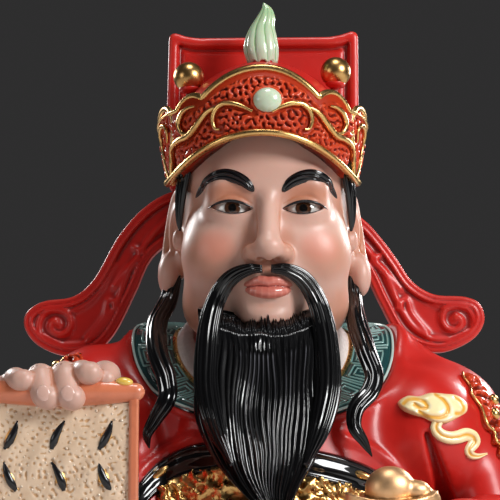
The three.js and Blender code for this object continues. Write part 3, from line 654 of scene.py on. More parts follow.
# a glaze of one colour with paler ridges and darker hollows
def makePlainGlaze(name, full, deep, pale, gloss=0.25, coat=0.6, pitted=0.0):
    glaze = Glaze(name)
    crease, cloud = glaze.mark("crease"), glaze.noise(3, 3)
    # darker in the hollows: painted shade, except on the cloud, where the deep colour is the yellow paint of
    # its grooves
    colour = glaze.blend(crease.rising(0.03, 0.45) * 0.8, full, deep)
    # paler on the ridges: a painted highlight, except on the cloud, whose raised edges are painted cream
    colour = glaze.blend((0 - crease).rising(0.08, 0.7) * 0.5, colour, pale)
    colour = glaze.blend(cloud.rising(0.45, 0.8) * 0.25, colour, deep)
    if pitted:
        # pits take the deep colour: painted shade in the scroll's dents, and the yellow paint of the cloud's
        # grooves
        colour = glaze.blend(glaze.mark("pit").rising(0.2, 1.0) * pitted, colour, deep)
    return glaze.done(colour, gloss + cloud * 0.15, glaze.bump(cloud, 0.12, 0.5),
                      Coat_Weight=coat, Coat_Roughness=0.08)


def makeEyeGlaze(iris):
    glaze = Glaze("eye_glaze")
    across = ((abs(glaze.x) - iris["out"]) ** 2 + (glaze.z - iris["height"]) ** 2) ** 0.5
    rays = glaze.noise(0.8, 2)
    white = glaze.blend(across.rising(2.9, 6), rgb(0.62, 0.60, 0.57), rgb(0.42, 0.24, 0.19))
    brown = glaze.blend(rays, rgb(0.035, 0.012, 0.006), rgb(0.10, 0.038, 0.016))
    dark = rgb(0.003, 0.002, 0.002)
    brown = glaze.blend(1 - across.rising(iris["pupil"], iris["pupil"] + 0.3), brown, dark)
    colour = glaze.blend(1 - across.rising(iris["radius"] - 0.25, iris["radius"] + 0.15), white, brown)
    return glaze.done(colour, 0.06 + rays * 0.04, glaze.bump(rays, 0.02, 0.3), Coat_Weight=1.0,
                      Coat_Roughness=0.02)


irisLook = {"out": 10.8, "height": 97.4, "radius": 2.5, "pupil": 1.1}
finishes = {
    "red": makeRedGlaze(),
    "skin": makeSkinGlaze(),
    "black": makeBlackGlaze("black_glaze", rgb(0.010, 0.010, 0.012)),
    # the beard's ridges carry a painted highlight: pale grey lines below its top edge
    "beard": makeBlackGlaze("beard_glaze", rgb(0.52, 0.52, 0.59), highlightBelow=57),
    "fringe": makeBlackGlaze("fringe_glaze", rgb(0.006, 0.006, 0.007), coat=0.15),
    "gold": makeGold(),
    "ballGold": makeGold("ball_gold_lustre", 0.22, rgb(0.62, 0.36, 0.13)),
    "paleGold": makeGold("pale_gold_lustre", 0.36, rgb(0.92, 0.56, 0.29)),
    "jade": makeJade(),
    "carved": makeCarvedRed(),
    "eye": makeEyeGlaze(irisLook),
    "lips": makePlainGlaze("lip_glaze", rgb(0.60, 0.15, 0.11), rgb(0.25, 0.03, 0.02), rgb(0.85, 0.36, 0.28)),
    "teal": makePlainGlaze("collar_glaze", rgb(0.012, 0.060, 0.062), rgb(0.004, 0.020, 0.022),
                           rgb(0.05, 0.17, 0.16), gloss=0.15, coat=1.0),
    "fret": makePlainGlaze("fret_glaze", rgb(0.50, 0.66, 0.61), rgb(0.12, 0.28, 0.26),
                           rgb(0.68, 0.80, 0.75), gloss=0.15, coat=1.0),
    "white": makePlainGlaze("white_glaze", rgb(0.88, 0.79, 0.75), rgb(0.55, 0.38, 0.33),
                            rgb(0.94, 0.90, 0.88), gloss=0.2),
    "nail": makePlainGlaze("nail_glaze", rgb(0.72, 0.44, 0.36), rgb(0.50, 0.20, 0.13),
                           rgb(0.78, 0.52, 0.45), gloss=0.2, coat=0.7),
    "cream": makePlainGlaze("scroll_glaze", rgb(0.86, 0.63, 0.44), rgb(0.62, 0.34, 0.15),
                            rgb(0.94, 0.84, 0.70), pitted=0.6),
    "salmon": makePlainGlaze("scroll_frame_glaze", rgb(0.72, 0.21, 0.10), rgb(0.34, 0.06, 0.02),
                             rgb(0.84, 0.36, 0.22)),
    "cloud": makePlainGlaze("cloud_glaze", rgb(0.95, 0.80, 0.43), rgb(0.82, 0.38, 0.02),
                            rgb(0.97, 0.92, 0.70), gloss=0.25, coat=0.6, pitted=0.9),
    "yellow": makePlainGlaze("yellow_glaze", rgb(0.80, 0.48, 0.05), rgb(0.45, 0.20, 0.01),
                             rgb(0.90, 0.68, 0.20), gloss=0.18, coat=0.9),
}
# the slot of each finish, unless a piece says another
slotNames = {look: slotName for slotName, looks in {
    "red_glaze": ("red", "carved"), "skin_glaze": ("skin", "eye", "lips", "white", "nail"),
    "black_glaze": ("black", "beard", "fringe"), "gold_lustre": ("gold", "ballGold", "paleGold", "cloud"),
    "jade_glaze": ("jade",), "collar_glaze": ("teal", "fret"), "scroll_glaze": ("cream", "salmon", "yellow"),
}.items() for look in looks}
print("glazes mixed:", len(finishes))


# Geometry trees

def geometryTree(name, inputs):
    group = bpy.data.node_groups.new(name, "GeometryNodeTree")
    group.interface.new_socket("Geometry", in_out="INPUT", socket_type="NodeSocketGeometry")
    for label, kind, value in inputs:
        socket = group.interface.new_socket(label, in_out="INPUT", socket_type=kind)
        if value is not None:
            socket.default_value = value
    group.interface.new_socket("Geometry", in_out="OUTPUT", socket_type="NodeSocketGeometry")
    tree = Tree(group)
    entry = group.nodes.new("NodeGroupInput")
    return tree, {output.name: Wire(tree, output) for output in entry.outputs if output.name}


def closeTree(tree, shape, material):
    real = tree.add("GeometryNodeRealizeInstances", None, {0: shape})
    painted = tree.add("GeometryNodeSetMaterial", None, {"Geometry": real, "Material": material})
    end = tree.nodes.nodes.new("NodeGroupOutput")
    tree.nodes.links.new(painted.socket, end.inputs[0])
    return tree.nodes


# the threads of a mesh as round cords
def cordsAlong(tree, threads, sides, radius, **more):
    curve = tree.add("GeometryNodeMeshToCurve", None, {0: threads})
    ring = tree.add("GeometryNodeCurvePrimitiveCircle", None, {"Resolution": sides, "Radius": radius})
    values = {"Curve": curve, "Profile Curve": ring, "Fill Caps": True, **more}
    return tree.add("GeometryNodeCurveToMesh", None, values)


def named(tree, label, kind="FLOAT"):
    return tree.add("GeometryNodeInputNamedAttribute", {"data_type": kind}, {0: label})


# a round cord along each thread, as thick as the thread's girth says
def makeCordTree():
    sizes = [("Radius", "NodeSocketFloat", 0.001), ("Sides", "NodeSocketInt", 8),
             ("Finish", "NodeSocketMaterial", None)]
    tree, given = geometryTree("cord_tree", sizes)
    cord = cordsAlong(tree, given["Geometry"], given["Sides"], given["Radius"], Scale=named(tree, "girth"))
    return closeTree(tree, cord, given["Finish"])


# a stud on each point of a mesh, turned to face the way the point's mark says
def makeStudTree():
    sizes = [("Length", "NodeSocketFloat", 0.001), ("Width", "NodeSocketFloat", 0.001),
             ("Height", "NodeSocketFloat", 0.001), ("Finish", "NodeSocketMaterial", None)]
    tree, given = geometryTree("stud_tree", sizes)
    dome = tree.add("GeometryNodeMeshUVSphere", None, {"Segments": 16, "Rings": 10, "Radius": 1.0})
    out, along = (named(tree, label, "FLOAT_VECTOR") for label in ("outwards", "along"))
    turned = tree.add("FunctionNodeAlignRotationToVector", {"axis": "Z"}, {"Vector": out})
    turned = tree.add("FunctionNodeAlignRotationToVector", {"axis": "X", "pivot_axis": "Z"},
                      {"Rotation": turned, "Vector": along})
    size = tree.add("ShaderNodeCombineXYZ", None, {0: given["Length"], 1: given["Width"], 2: given["Height"]})
    studs = tree.add("GeometryNodeInstanceOnPoints", None,
                     {"Points": given["Geometry"], "Instance": dome, "Rotation": turned, "Scale": size})
    return closeTree(tree, studs, given["Finish"])


# crumbs scattered over a face, never closer than the spacing
def makeCrumbTree():
    sizes = [("Spacing", "NodeSocketFloat", 0.001), ("Crumb", "NodeSocketFloat", 0.001),
             ("Flatness", "NodeSocketFloat", 0.5), ("Seed", "NodeSocketInt", 4),
             ("Finish", "NodeSocketMaterial", None)]
    tree, given = geometryTree("crumb_tree", sizes)
    scatter = tree.add("GeometryNodeDistributePointsOnFaces", {"distribute_method": "POISSON"},
                       {"Mesh": given["Geometry"], "Distance Min": given["Spacing"], "Density Max": 6e5,
                        "Seed": given["Seed"]})
    crumb = tree.add("GeometryNodeMeshIcoSphere", None, {"Radius": 1.0, "Subdivisions": 1})
    way = Wire(tree, scatter.socket.node.outputs["Rotation"])
    big = tree.add("FunctionNodeRandomValue", {"data_type": "FLOAT"},
                   {2: 0.6, 3: 1.25, "Seed": given["Seed"]}, out=1) * given["Crumb"]
    size = tree.add("ShaderNodeCombineXYZ", None, {0: big, 1: big, 2: big * given["Flatness"]})
    crumbs = tree.add("GeometryNodeInstanceOnPoints", None,
                      {"Points": scatter, "Instance": crumb, "Rotation": way, "Scale": size})
    return closeTree(tree, crumbs, given["Finish"])


# a run of one motif, drawn as threads, every other one turned round
def makeFretTree():
    sizes = [("Count", "NodeSocketInt", 20), ("Pitch", "NodeSocketFloat", 0.01),
             ("Line", "NodeSocketFloat", 0.0003), ("Finish", "NodeSocketMaterial", None)]
    tree, given = geometryTree("fret_tree", sizes)
    motif = cordsAlong(tree, given["Geometry"], 4, given["Line"])
    step = tree.add("ShaderNodeCombineXYZ", None, {0: given["Pitch"]})
    start = tree.add("ShaderNodeCombineXYZ", None, {0: given["Pitch"] * 0.5})
    run = tree.add("GeometryNodeMeshLine", {"mode": "OFFSET"},
                   {"Count": given["Count"], "Start Location": start, "Offset": step})
    index = tree.add("GeometryNodeInputIndex")
    turn = tree.add("ShaderNodeCombineXYZ", None, {2: (index % 2) * math.pi})
    motifs = tree.add("GeometryNodeInstanceOnPoints", None,
                      {"Points": run, "Instance": motif, "Rotation": turn})
    return closeTree(tree, motifs, given["Finish"])


cordTree, studTree, crumbTree, fretTree = makeCordTree(), makeStudTree(), makeCrumbTree(), makeFretTree()


# the plain mesh that a tree makes of a start mesh, in the tree's named sizes
def grow(name, start, tree, sizes):
    holder = bpy.data.objects.new(name, start)
    bpy.context.scene.collection.objects.link(holder)
    modifier = holder.modifiers.new("grow", "NODES")
    modifier.node_group = tree
    for item in tree.interface.items_tree:
        if item.item_type == "SOCKET" and item.in_out == "INPUT" and item.name in sizes:
            modifier[item.identifier] = sizes[item.name]
    grown = bpy.data.meshes.new_from_object(holder.evaluated_get(bpy.context.evaluated_depsgraph_get()))
    holder.modifiers.remove(modifier)
    holder.data = grown
    grown.shade_smooth()
    return holder


# threads are (points, girth along them, whether they are closed)
def threadMesh(name, threads):
    places, edges, girths = [], [], []
    for points, girth, closed in threads:
        first = len(places)
        places += (np.asarray(points, float) / metre).tolist()
        girths += np.broadcast_to(girth, len(points)).tolist()
        ids = list(range(first, len(places)))
        edges += list(zip(ids, ids[1:])) + ([(ids[-1], ids[0])] if closed else [])
    mesh = bpy.data.meshes.new(name)
    mesh.from_pydata(places, edges, [])
    setMark(mesh, "girth", girths)
    return mesh


def creaseMark(mesh):
    points = spotsOf(mesh).astype(float) * metre
    faces = [np.array([p.vertices[:] for p in mesh.polygons if len(p.vertices) == n]) for n in (3, 4)]
    faces = [part for part in faces if len(part)]
    setMark(mesh, "crease", creaseOf(points, faces, facing(points, faces), 1))


def addCords(name, threads, radius, look, sides=10, slotName=None):
    sizes = {"Radius": radius / metre, "Sides": sides, "Finish": finishes[look]}
    piece = grow(name, threadMesh(name, threads), cordTree, sizes)
    creaseMark(piece.data)
    return finishPiece(piece, slotName or slotNames[look])


def addStuds(name, places, outwards, along, size, look):
    mesh = bpy.data.meshes.new(name)
    mesh.from_pydata((np.asarray(places, float) / metre).tolist(), [], [])
    for label, vectors in (("outwards", outwards), ("along", along)):
        mark = mesh.attributes.new(label, "FLOAT_VECTOR", "POINT")
        mark.data.foreach_set("vector", np.asarray(vectors, float).ravel())
    sizes = {label: value / metre for label, value in zip(("Length", "Width", "Height"), size)}
    piece = grow(name, mesh, studTree, {**sizes, "Finish": finishes[look]})
    creaseMark(piece.data)
    return finishPiece(piece, slotNames[look])


# thickness along a thread that tapers at both ends
def tapered(steps, tip=0.15):
    return np.maximum(tip, np.sqrt(np.sin(np.pi * np.linspace(0, 1, steps))))


# Head

headPlan = {"chin": 57, "mouth": 73, "nose": 80.5, "eyes": 97.5, "brow": 104, "eyeOut": 11,
            "almond": (6.2, 1.85), "eyeball": ((11, -20.6, 97.4), (7.4, 7.9, 7.4))}
neckMiddle = [(0, 2, 44), (0, 0, 74)]


def headMass():
    plan = headPlan
    skull = ellipsoid((0, 4, 112), (28, 32, 29))
    face = ellipsoid((0, -3, 89), (26.4, 26.5, 31))
    cheeks = paired(ellipsoid((14, -16.5, 84), (12, 11.5, 13)))
    jaw = paired(ellipsoid((14.5, -8, 69.5), (11.5, 14, 11)))
    chinBall = ellipsoid((0, -22.5, plan["chin"] + 8), (9, 8.6, 8))
    brow = limb((-13, -24.5, plan["brow"]), 5.4, (13, -24.5, plan["brow"]), 5.4)
    muzzle = ellipsoid((0, -21, plan["mouth"] + 1.5), (12, 10.4, 9))
    socket = paired(ellipsoid((11, -34, plan["eyes"] + 0.4), (8, 5.6, 4.6)))
    mound = paired(ellipsoid((11, -22.6, plan["eyes"]), (7.6, 6.8, 5.6)))
    bridge = limb((0, -28.6, 100), 2.5, (0, -34.6, 84.7), 3.7)
    nostrils = paired(ellipsoid((4.6, -31.6, plan["nose"] + 2.8), (3, 3.6, 2.7)))
    mass = hollow(5, melt(6, skull, face, cheeks, jaw, chinBall, brow, muzzle), socket)
    return melt(2.4, melt(3.5, mass, mound), bridge, nostrils)


plainHead = headMass()


# the opening between the lids: where two wide circles overlap, seen from the front
def almond(p):
    halfWidth, halfHeight = headPlan["almond"]
    radius = (halfWidth**2 + halfHeight**2) / (2 * halfHeight)
    across, up = np.abs(p[..., 0]) - headPlan["eyeOut"], p[..., 2] - headPlan["eyes"] + lidTilt(p)
    above, below = np.hypot(across, up - halfHeight + radius), np.hypot(across, up + halfHeight - radius)
    return np.maximum(np.maximum(above, below) - radius, np.abs(p[..., 1] + 32) - 8)


def lidTilt(p):
    return -0.05 * (np.abs(p[..., 0]) - headPlan["eyeOut"])


earPath = [(26.2, -4.4, 97), (26.8, -4.4, 103), (27.4, -1.4, 106.2), (28.8, 2.8, 104.4), (30.4, 4.8, 97),
           (31.4, 4.0, 89), (32.1, 1.8, 82.5)]


def earForm():
    plate = ellipsoid((27.2, 2.6, 92.5), (3.4, 6.4, 13.6))
    lobe = ellipsoid((30.8, 0.8, 79.8), (3.3, 4.8, 6.6))
    rim = chain(smoothPath(earPath, 14), 1.35)
    flap = ellipsoid((27.6, -5, 90.5), (1.8, 2.2, 3.4))
    shell = melt(1.6, melt(3, plate, lobe), rim)
    bowl = ellipsoid((29.4, -3.6, 93.5), (2.6, 4.2, 8))
    return melt(1.4, hollow(1, shell, bowl), flap)


def faceForm():
    plan = headPlan
    tip = ellipsoid((0, -35.3, 84.6), (4.1, 3.7, 3.5))
    face = melt(1.6, plainHead, tip)
    face = hollow(0.8, face, paired(ellipsoid((2.5, -34, plan["nose"] + 0.2), (1.5, 2.3, 1.1))))
    face = hollow(1.6, face, limb((0, -33.4, 79.4), 0.9, (0, -32.8, 76.4), 1.3))
    face = hollow(2.5, face, limb((-5, -32, 67.4), 1.1, (5, -32, 67.4), 1.1))
    fold = laidOn(plainHead, [(5.2, 98.7), (8, 100.6), (12.4, 101.1), (17, 98.9)], 15, 0.1)
    face = hollow(0.9, face, paired(chain(fold, 0.42 * tapered(15, 0.1))))
    face = hollow(0.6, face, almond)
    neck = limb(neckMiddle[0], 21, neckMiddle[1], 18)
    return melt(2.5, melt(4, face, neck), paired(earForm()))


print("carving the head")
addSkin("face_and_neck", within(faceForm(), y=(-60, 14), z=(50, 124)), "skin")


def makeEyes():
    middle, radii = headPlan["eyeball"]
    way = roundWays(48, np.linspace(0.02, math.pi - 0.02, 30), **facingFront)
    balls = [ringShell(way * radii + np.array(middle) * [side, 1, 1]) for side in (-1, 1)]
    addPiece("eyes", together(*balls), "eye")


makeEyes()


# the dark line along each upper lid, and a finer one along the lower
def makeLashes():
    halfWidth, halfHeight = headPlan["almond"]
    threads = []
    for side in (-1, 1):
        for up, girth in ((1, 1.15), (-1, 0.4)):
            t = np.linspace(-1, 1 if up < 0 else 1.12, 30)
            x = headPlan["eyeOut"] + t * (halfWidth + 0.3)
            z = headPlan["eyes"] + up * halfHeight * (1 - t**2) * 1.02 + 0.05 * t * halfWidth
            path = frontOf(plainHead, x * side, z, 0.02)
            threads.append((path, tapered(30) * girth, False))
    addCords("lash_lines", threads, 0.42, "black", 8)


makeLashes()

browPlan = {"path": [(4.2, -1.8), (7.6, 1.4), (13, 3.3), (18, 2.0), (22, -1.6)],
            "halfWidth": 2.0, "thick": 1.3, "hairs": 5}


def makeBrows():
    parts = []
    for side in (-1, 1):
        flat = [(x * side, headPlan["brow"] + up) for x, up in browPlan["path"]]
        path = laidOn(plainHead, flat, 56, -0.1)

        def section(u, v):
            taper = np.sqrt(np.clip(np.sin(np.pi * v**0.85), 0, 1))
            turn = fullTurn * u
            comb = 1 + 0.16 * np.cos(turn * 2 * browPlan["hairs"] + 9 * v) * np.clip(np.sin(turn), 0, 1)
            width = browPlan["halfWidth"] * np.maximum(taper, 0.06)
            thick = browPlan["thick"] * np.maximum(taper, 0.1)
            return width * comb * np.cos(turn), thick * comb * np.sin(turn)

        parts.append(strand(path, 60, section))
    addPiece("brows", together(*parts), "black")


makeBrows()


# half of each lip, from the middle outwards: (out, depth, height over the mouth)
lipPlans = [{"half": [(0, -31.9, 1.5), (2.2, -31.8, 1.9), (5.4, -30.2, 1.1), (8.8, -27.4, 0.5)], "steps": 17,
             "full": 1.15},
            {"half": [(0, -31.5, -1.6), (4, -30.6, -1.2), (8.2, -27.4, 0.1)], "steps": 13, "full": 1.5}]


def makeLips():
    height, lips = headPlan["mouth"], []
    for plan in lipPlans:
        whole = [(-x, y, z) for x, y, z in plan["half"][:0:-1]] + plan["half"]
        path = smoothPath([(x, y, height + z) for x, y, z in whole], plan["steps"])
        lips.append(chain(path, 0.5 + plan["full"] * np.sin(np.pi * np.linspace(0, 1, plan["steps"]))))
    shell = skin(melt(0.15, *lips), (-10.5, -35, height - 5), (10.5, -24, height + 5), 0.3)
    addPiece("lips", shell, "lips")


makeLips()


# Hair and beard: ridges combed along each form

# ridges round a section: sharp grooves between rounded hairs, each hair a little different
def combed(turns, hairs, seed, sharp=0.6):
    dice = np.random.default_rng(seed)
    strength = dice.uniform(0.55, 1.0, 4096)
    place = turns * hairs
    hair = np.floor(place).astype(int) % 4096
    return strength[hair] * np.abs(np.sin(np.pi * place)) ** sharp


beardPlan = {"top": 60, "tip": 3, "hairs": 27, "ridge": 0.95, "cornerRise": 7, "cornerDepth": 5, "spikes": 76,
             "rootRise": 1.6, "rootDepth": 6,
             "middle": [(0, -1.6), (0.6, -2), (0.85, -0.8), (1, 3)],
             "halfWidth": [(0, 19.4), (0.3, 20.2), (0.52, 19.2), (0.72, 14.4), (0.88, 6.6), (1, 1.2)],
             "front": [(0, -33), (0.15, -37.8), (0.5, -47), (0.8, -52), (1, -54)],
             "depth": [(0, 8), (0.2, 13), (0.6, 15), (0.85, 9), (1, 2.4)]}


beardCurves = [profile(beardPlan[key]) for key in ("middle", "halfWidth", "front", "depth")]


def makeBeard():
    plan = beardPlan
    middle, half, front, depth = beardCurves
    frontSteps, backSteps, rows = 300, 30, 78
    turn = np.concatenate([np.arange(frontSteps) / frontSteps, 1 + np.arange(backSteps) / backSteps]) * np.pi
    turn, v = np.meshgrid(turn, np.linspace(0, 1, rows) ** 1.15)
    upper = 1 - v
    across, out = -np.cos(turn), np.sin(turn)
    flow = (across * 0.5 + 0.5) + 0.010 * np.sin(7 * v + 9 * across) + 0.006 * np.sin(17 * v - 5 * across)
    combs = combed(np.where(out > 0, flow, 0.25 * flow), plan["hairs"], 3, 1.2)
    clumps = combed(np.where(out > 0, flow + 0.02 * np.sin(5 * v), 0.2 * flow), 8, 5, 1.0)
    raised = smooth(v / 0.09)
    fade = raised * (0.35 + 0.65 * smooth((1 - v) / 0.15))
    ridge = (plan["ridge"] * combs * (0.2 + 0.8 * smooth((v - 0.05) / 0.1)) + 0.7 * clumps) * fade
    ridge += 0.4 * combed(flow, 64, 7, 1.0) * (1 - smooth(v / 0.14))
    swell = ridge - 0.7 * smooth(v / 0.12)
    x = middle(v) + across * (half(v) + swell) + 0.5 * np.sin(9 * v) * upper
    y = front(v) + depth(v) / 2 - out * (depth(v) / 2 + swell)
    y += plan["cornerDepth"] * upper * across**4
    z = mix(plan["top"], plan["tip"], v) + plan["cornerRise"] * across**2 * upper
    root = (1 - smooth(v / 0.04)) * smooth(out / 0.3)      # the top edge climbs back to the chin
    z += plan["rootRise"] * root
    rootRows = slice(0, 8)
    chin = frontOf(plainHead, x[rootRows], z[rootRows], -0.5)[..., 1]
    y[rootRows] += np.clip(chin - y[rootRows], 0, plan["rootDepth"]) * root[rootRows]
    tuft = np.exp(-((across * 20 + 1) / 3.6) ** 2) * np.clip(1 - v / 0.12, 0, 1)   # a tuft below the lip
    grid = np.stack([x, y - 1.3 * tuft * raised, z + 1.6 * tuft], -1)
    addPiece("beard", ringShell(grid), "beard")


# the short hairs over the beard's top edge
def makeFringe():
    plan = beardPlan
    middle, half, front, depth = (curve(0) for curve in beardCurves)
    dice = np.random.default_rng(9)
    threads = []
    t = np.linspace(0, 1, 9)
    for across in np.linspace(-0.84, 0.84, plan["spikes"]):
        x = across * half + middle + dice.uniform(-0.2, 0.2)
        foot = plan["top"] + plan["cornerRise"] * across**2 - dice.uniform(2.2, 3.4)
        tall = dice.uniform(4.6, 6.2) + 1.6 * math.exp(-((x + 1) / 3) ** 2)
        lean = dice.uniform(-0.35, 0.35) - 0.02 * x
        points = frontOf(plainHead, x + lean * t, foot + tall * t, 0.12)
        beardFront = front + depth / 2 * (1 - math.sqrt(1 - across**2)) + plan["cornerDepth"] * across**4
        skinDepth = np.minimum(points[:, 1], beardFront + 5)
        points[:, 1] = mix(beardFront - 0.9, skinDepth, smooth((t - 0.4) / 0.55))
        threads.append((points, tapered(9, 0.12), False))
    addCords("beard_fringe", threads, 0.42, "fringe", 6)


moustachePlan = {"path": [(1.3, -33.8, 78.2), (5.4, -33.4, 78), (10.6, -31.6, 75.6), (14.6, -30.4, 70),
                          (16.9, -32, 62), (17.8, -35.4, 52), (17.6, -40, 42), (15, -45, 31),
                          (10.4, -49.4, 20)],
                 "middle": -0.6, "hairs": 6,
                 "width": [(0, 1.0), (0.1, 1.9), (0.3, 2.7), (0.55, 3.4), (0.8, 2.9), (1, 0.5)]}


def makeMoustaches():
    plan = moustachePlan
    width = profile(plan["width"])
    for side, name in ((-1, "moustache_left"), (1, "moustache_right")):
        path = smoothPath([(x * side + plan["middle"], y, z) for x, y, z in plan["path"]], 100)

        def section(u, v):
            turn = fullTurn * u
            flow = u + 0.02 * np.sin(6 * v + 8 * u)
            ridge = 0.6 * combed(flow, 2 * plan["hairs"], 21 + side, 0.9) * np.clip(width(v) / 2, 0, 1)
            thick = width(v) * 0.62 + 0.25
            return (width(v) + ridge) * np.cos(turn), (thick + ridge) * np.sin(turn)

        addPiece(name, strand(path, 90, section), "black")


sideburnPlan = {"path": [(25.0, -13.5, 114), (26.6, -11.8, 105), (27.2, -9.6, 97), (27, -8.4, 93)],
                "halfWidth": 3.0, "thick": 1.3, "hairs": 12, "ridge": 0.25, "outwards": (0.8, -0.6, 0)}


def makeSideburns():
    plan, parts = sideburnPlan, []
    for side in (-1, 1):

        def section(u, v):
            taper = np.maximum(0.08, np.sqrt(np.clip(1 - v**1.5, 0, 1)))
            ridge = plan["ridge"] * combed(u, plan["hairs"], 31)
            across, out = plan["halfWidth"] * taper + ridge, plan["thick"] * taper + ridge
            return across * np.cos(fullTurn * u), out * np.sin(fullTurn * u)

        line = smoothPath([(x * side, y, z) for x, y, z in plan["path"]], 50)
        parts.append(strand(line, 60, section, np.array(plan["outwards"]) * (side, 1, 1)))
    addPiece("sideburns", together(*parts), "black")


napePlan = {"middle": (0.0, 12, 84), "reach": 62, "steps": 60, "rows": 44, "around": 420,
            "tilts": (0.35, math.pi - 0.12), "hairs": 84, "hairRise": 0.55, "clumps": 18, "clumpRise": 0.6,
            "sunk": 0.8, "fade": 0.1}


def makeNapeHair():
    plan = napePlan
    crownOfHair = melt(4, ellipsoid((0, 12, 102), (28.6, 25.5, 30)), limb((0, 16, 80), 17, (0, 12, 58), 18))
    rows, around = np.linspace(0, 1, plan["rows"]), plan["around"]
    u, v = np.meshgrid(np.arange(around) / around, rows)
    way = roundWays(around, mix(*plan["tilts"], rows), order=(1, 0, 2))
    grid = np.array(plan["middle"]) + way * plan["reach"]
    for _ in range(plan["steps"]):
        grid -= way * (crownOfHair(grid) * walkPlan["share"])[..., None]
    flow = u + 0.006 * np.sin(9 * v + 20 * u)
    ridge = plan["hairRise"] * combed(flow, plan["hairs"], 41)
    ridge = ridge + plan["clumpRise"] * combed(flow + 0.01 * v, plan["clumps"], 43, 1.0)
    fade = smooth(v / plan["fade"]), smooth((1 - v) / plan["fade"])
    grid += way * ((ridge - plan["sunk"]) * fade[0] * fade[1])[..., None]
    addPiece("nape_hair", ringShell(grid), "black")


lockPlans = {
    "lock_left": [(-27.6, 2, 84), (-30.4, -2, 72), (-33.8, -10, 64), (-33.6, -22, 54.5), (-30.2, -31, 45),
                  (-29.8, -35, 39.5), (-33.4, -36, 33), (-35.6, -37, 28.6), (-35, -38, 25)],
    "lock_right": [(27.6, 2, 84), (28.4, -2, 73), (28.2, -13, 64), (29.6, -25, 54), (31.4, -31.5, 46),
                   (29.8, -35, 41.4), (25.6, -38, 36.4), (25, -39.6, 31.4), (27.6, -40, 27),
                   (29.8, -40.4, 22.6)],
}


def makeLocks():
    width = profile([(0, 2.0), (0.3, 2.8), (0.6, 2.7), (0.85, 2.0), (0.95, 1.2), (1, 0.3)])
    for seed, (name, points) in enumerate(lockPlans.items()):

        def section(u, v):
            turn = fullTurn * (u + 0.35 * v)
            clump = 1 + 0.14 * np.cos(3 * turn)
            ridge = 0.75 * combed(u + 0.03 * np.sin(8 * v), 7, 51 + seed, 0.9) * np.clip(width(v) / 2, 0.2, 1)
            across = width(v) * clump + ridge - 0.2
            return across * np.cos(fullTurn * u), across * 0.8 * np.sin(fullTurn * u)

        addPiece(name, strand(smoothPath(points, 100), 76, section), "black")


print("combing hair and beard")
makeBeard()
makeFringe()
makeMoustaches()
makeSideburns()
makeNapeHair()
makeLocks()


# Hat

crownPlan = {
    "side": [(105, 29.2), (118, 32.2), (128, 33.7), (142, 32.2)], "turned": -2.2, "shift": -0.7,
    "reach": 35.0, "bare": (56, 92), "bareDepth": 2.1, "innerDepth": 5, "around": 440, "rows": 90,
    "spans": ((0, 0.72), (0.72, 0.08), (0.8, 0.2)),           # up the outside, over the edge, down the inside
    "front": [(105, 34.6), (119, 35.6), (130, 36.2), (142, 31.5)],
    "relief": 1.0, "wormLength": 2.1, "fineWorms": 1.4, "lip": 2.2,
    "rimBand": 1.8, "topBand": 2.6, "goldBand": 1.2,
    # gold lines on each side, through (turn in degrees, height)
    "hook": [(5, 125.4), (9.6, 126.9), (15.8, 128.1), (21.5, 127.9), (25.2, 125.9), (26.4, 123.2),
             (25.2, 120.9), (22.6, 120.6)],
    "sweep": [(21.5, 127.8), (29, 126.2), (34, 123.8), (38, 121.8), (43, 119.9), (49.5, 119.4), (56, 118.4),
              (61.3, 116.2), (62.4, 113.4)],
    "loop": [(42, 120.6), (47.6, 121.4), (49.4, 124), (47, 126.6), (42.4, 128.2), (37, 128.6)],
}
crownGirths = {"hook": 0.9, "sweep": 1.1, "loop": 0.85}
crownSide, crownFront = profile(crownPlan["side"]), profile(crownPlan["front"])


def crownPoint(turn, height, out=0.0):
    turn, height = np.broadcast_arrays(np.asarray(turn, float), np.asarray(height, float))
    side, front = crownSide(height) + out, crownFront(height) + out
    turn = turn + math.radians(crownPlan["turned"])
    return np.stack([crownPlan["shift"] + np.sin(turn) * side, -np.cos(turn) * front, height], -1)


def crownRim(turn):
    t = np.abs(turn)
    lowest, riseTurn = math.radians(75), math.radians(60)
    return 118.6 - 10.5 * np.sin(1.15 * np.minimum(t, lowest)) ** 2 + 5 * smooth((t - lowest) / riseTurn)


def crownTop(turn):
    t = np.abs(turn)
    arch = 139.6 - np.where(turn < 0, 7.0, 8.2) * (t / math.radians(29.5)) ** 2.1
    lobe = np.where(turn < 0, 132.2, 133.2) - 4.4 * ((t - math.radians(40)) / math.radians(12.5)) ** 2
    wall = 128.5 - 6 * smooth((t - math.radians(62)) / math.radians(90))
    return np.maximum(np.maximum(arch, lobe), wall)


# how far a place on the crown lies from the gold lines, in millimetres along its skin
def fromGold(turn, height):
    reach = crownPlan["reach"]
    places = np.stack([np.abs(turn) * reach, height], -1)
    lines = [smoothPath([(math.radians(a) * reach, h) for a, h in crownPlan[key]], 30) for key in crownGirths]
    return np.minimum.reduce([lineDistance(line)(places) for line in lines])


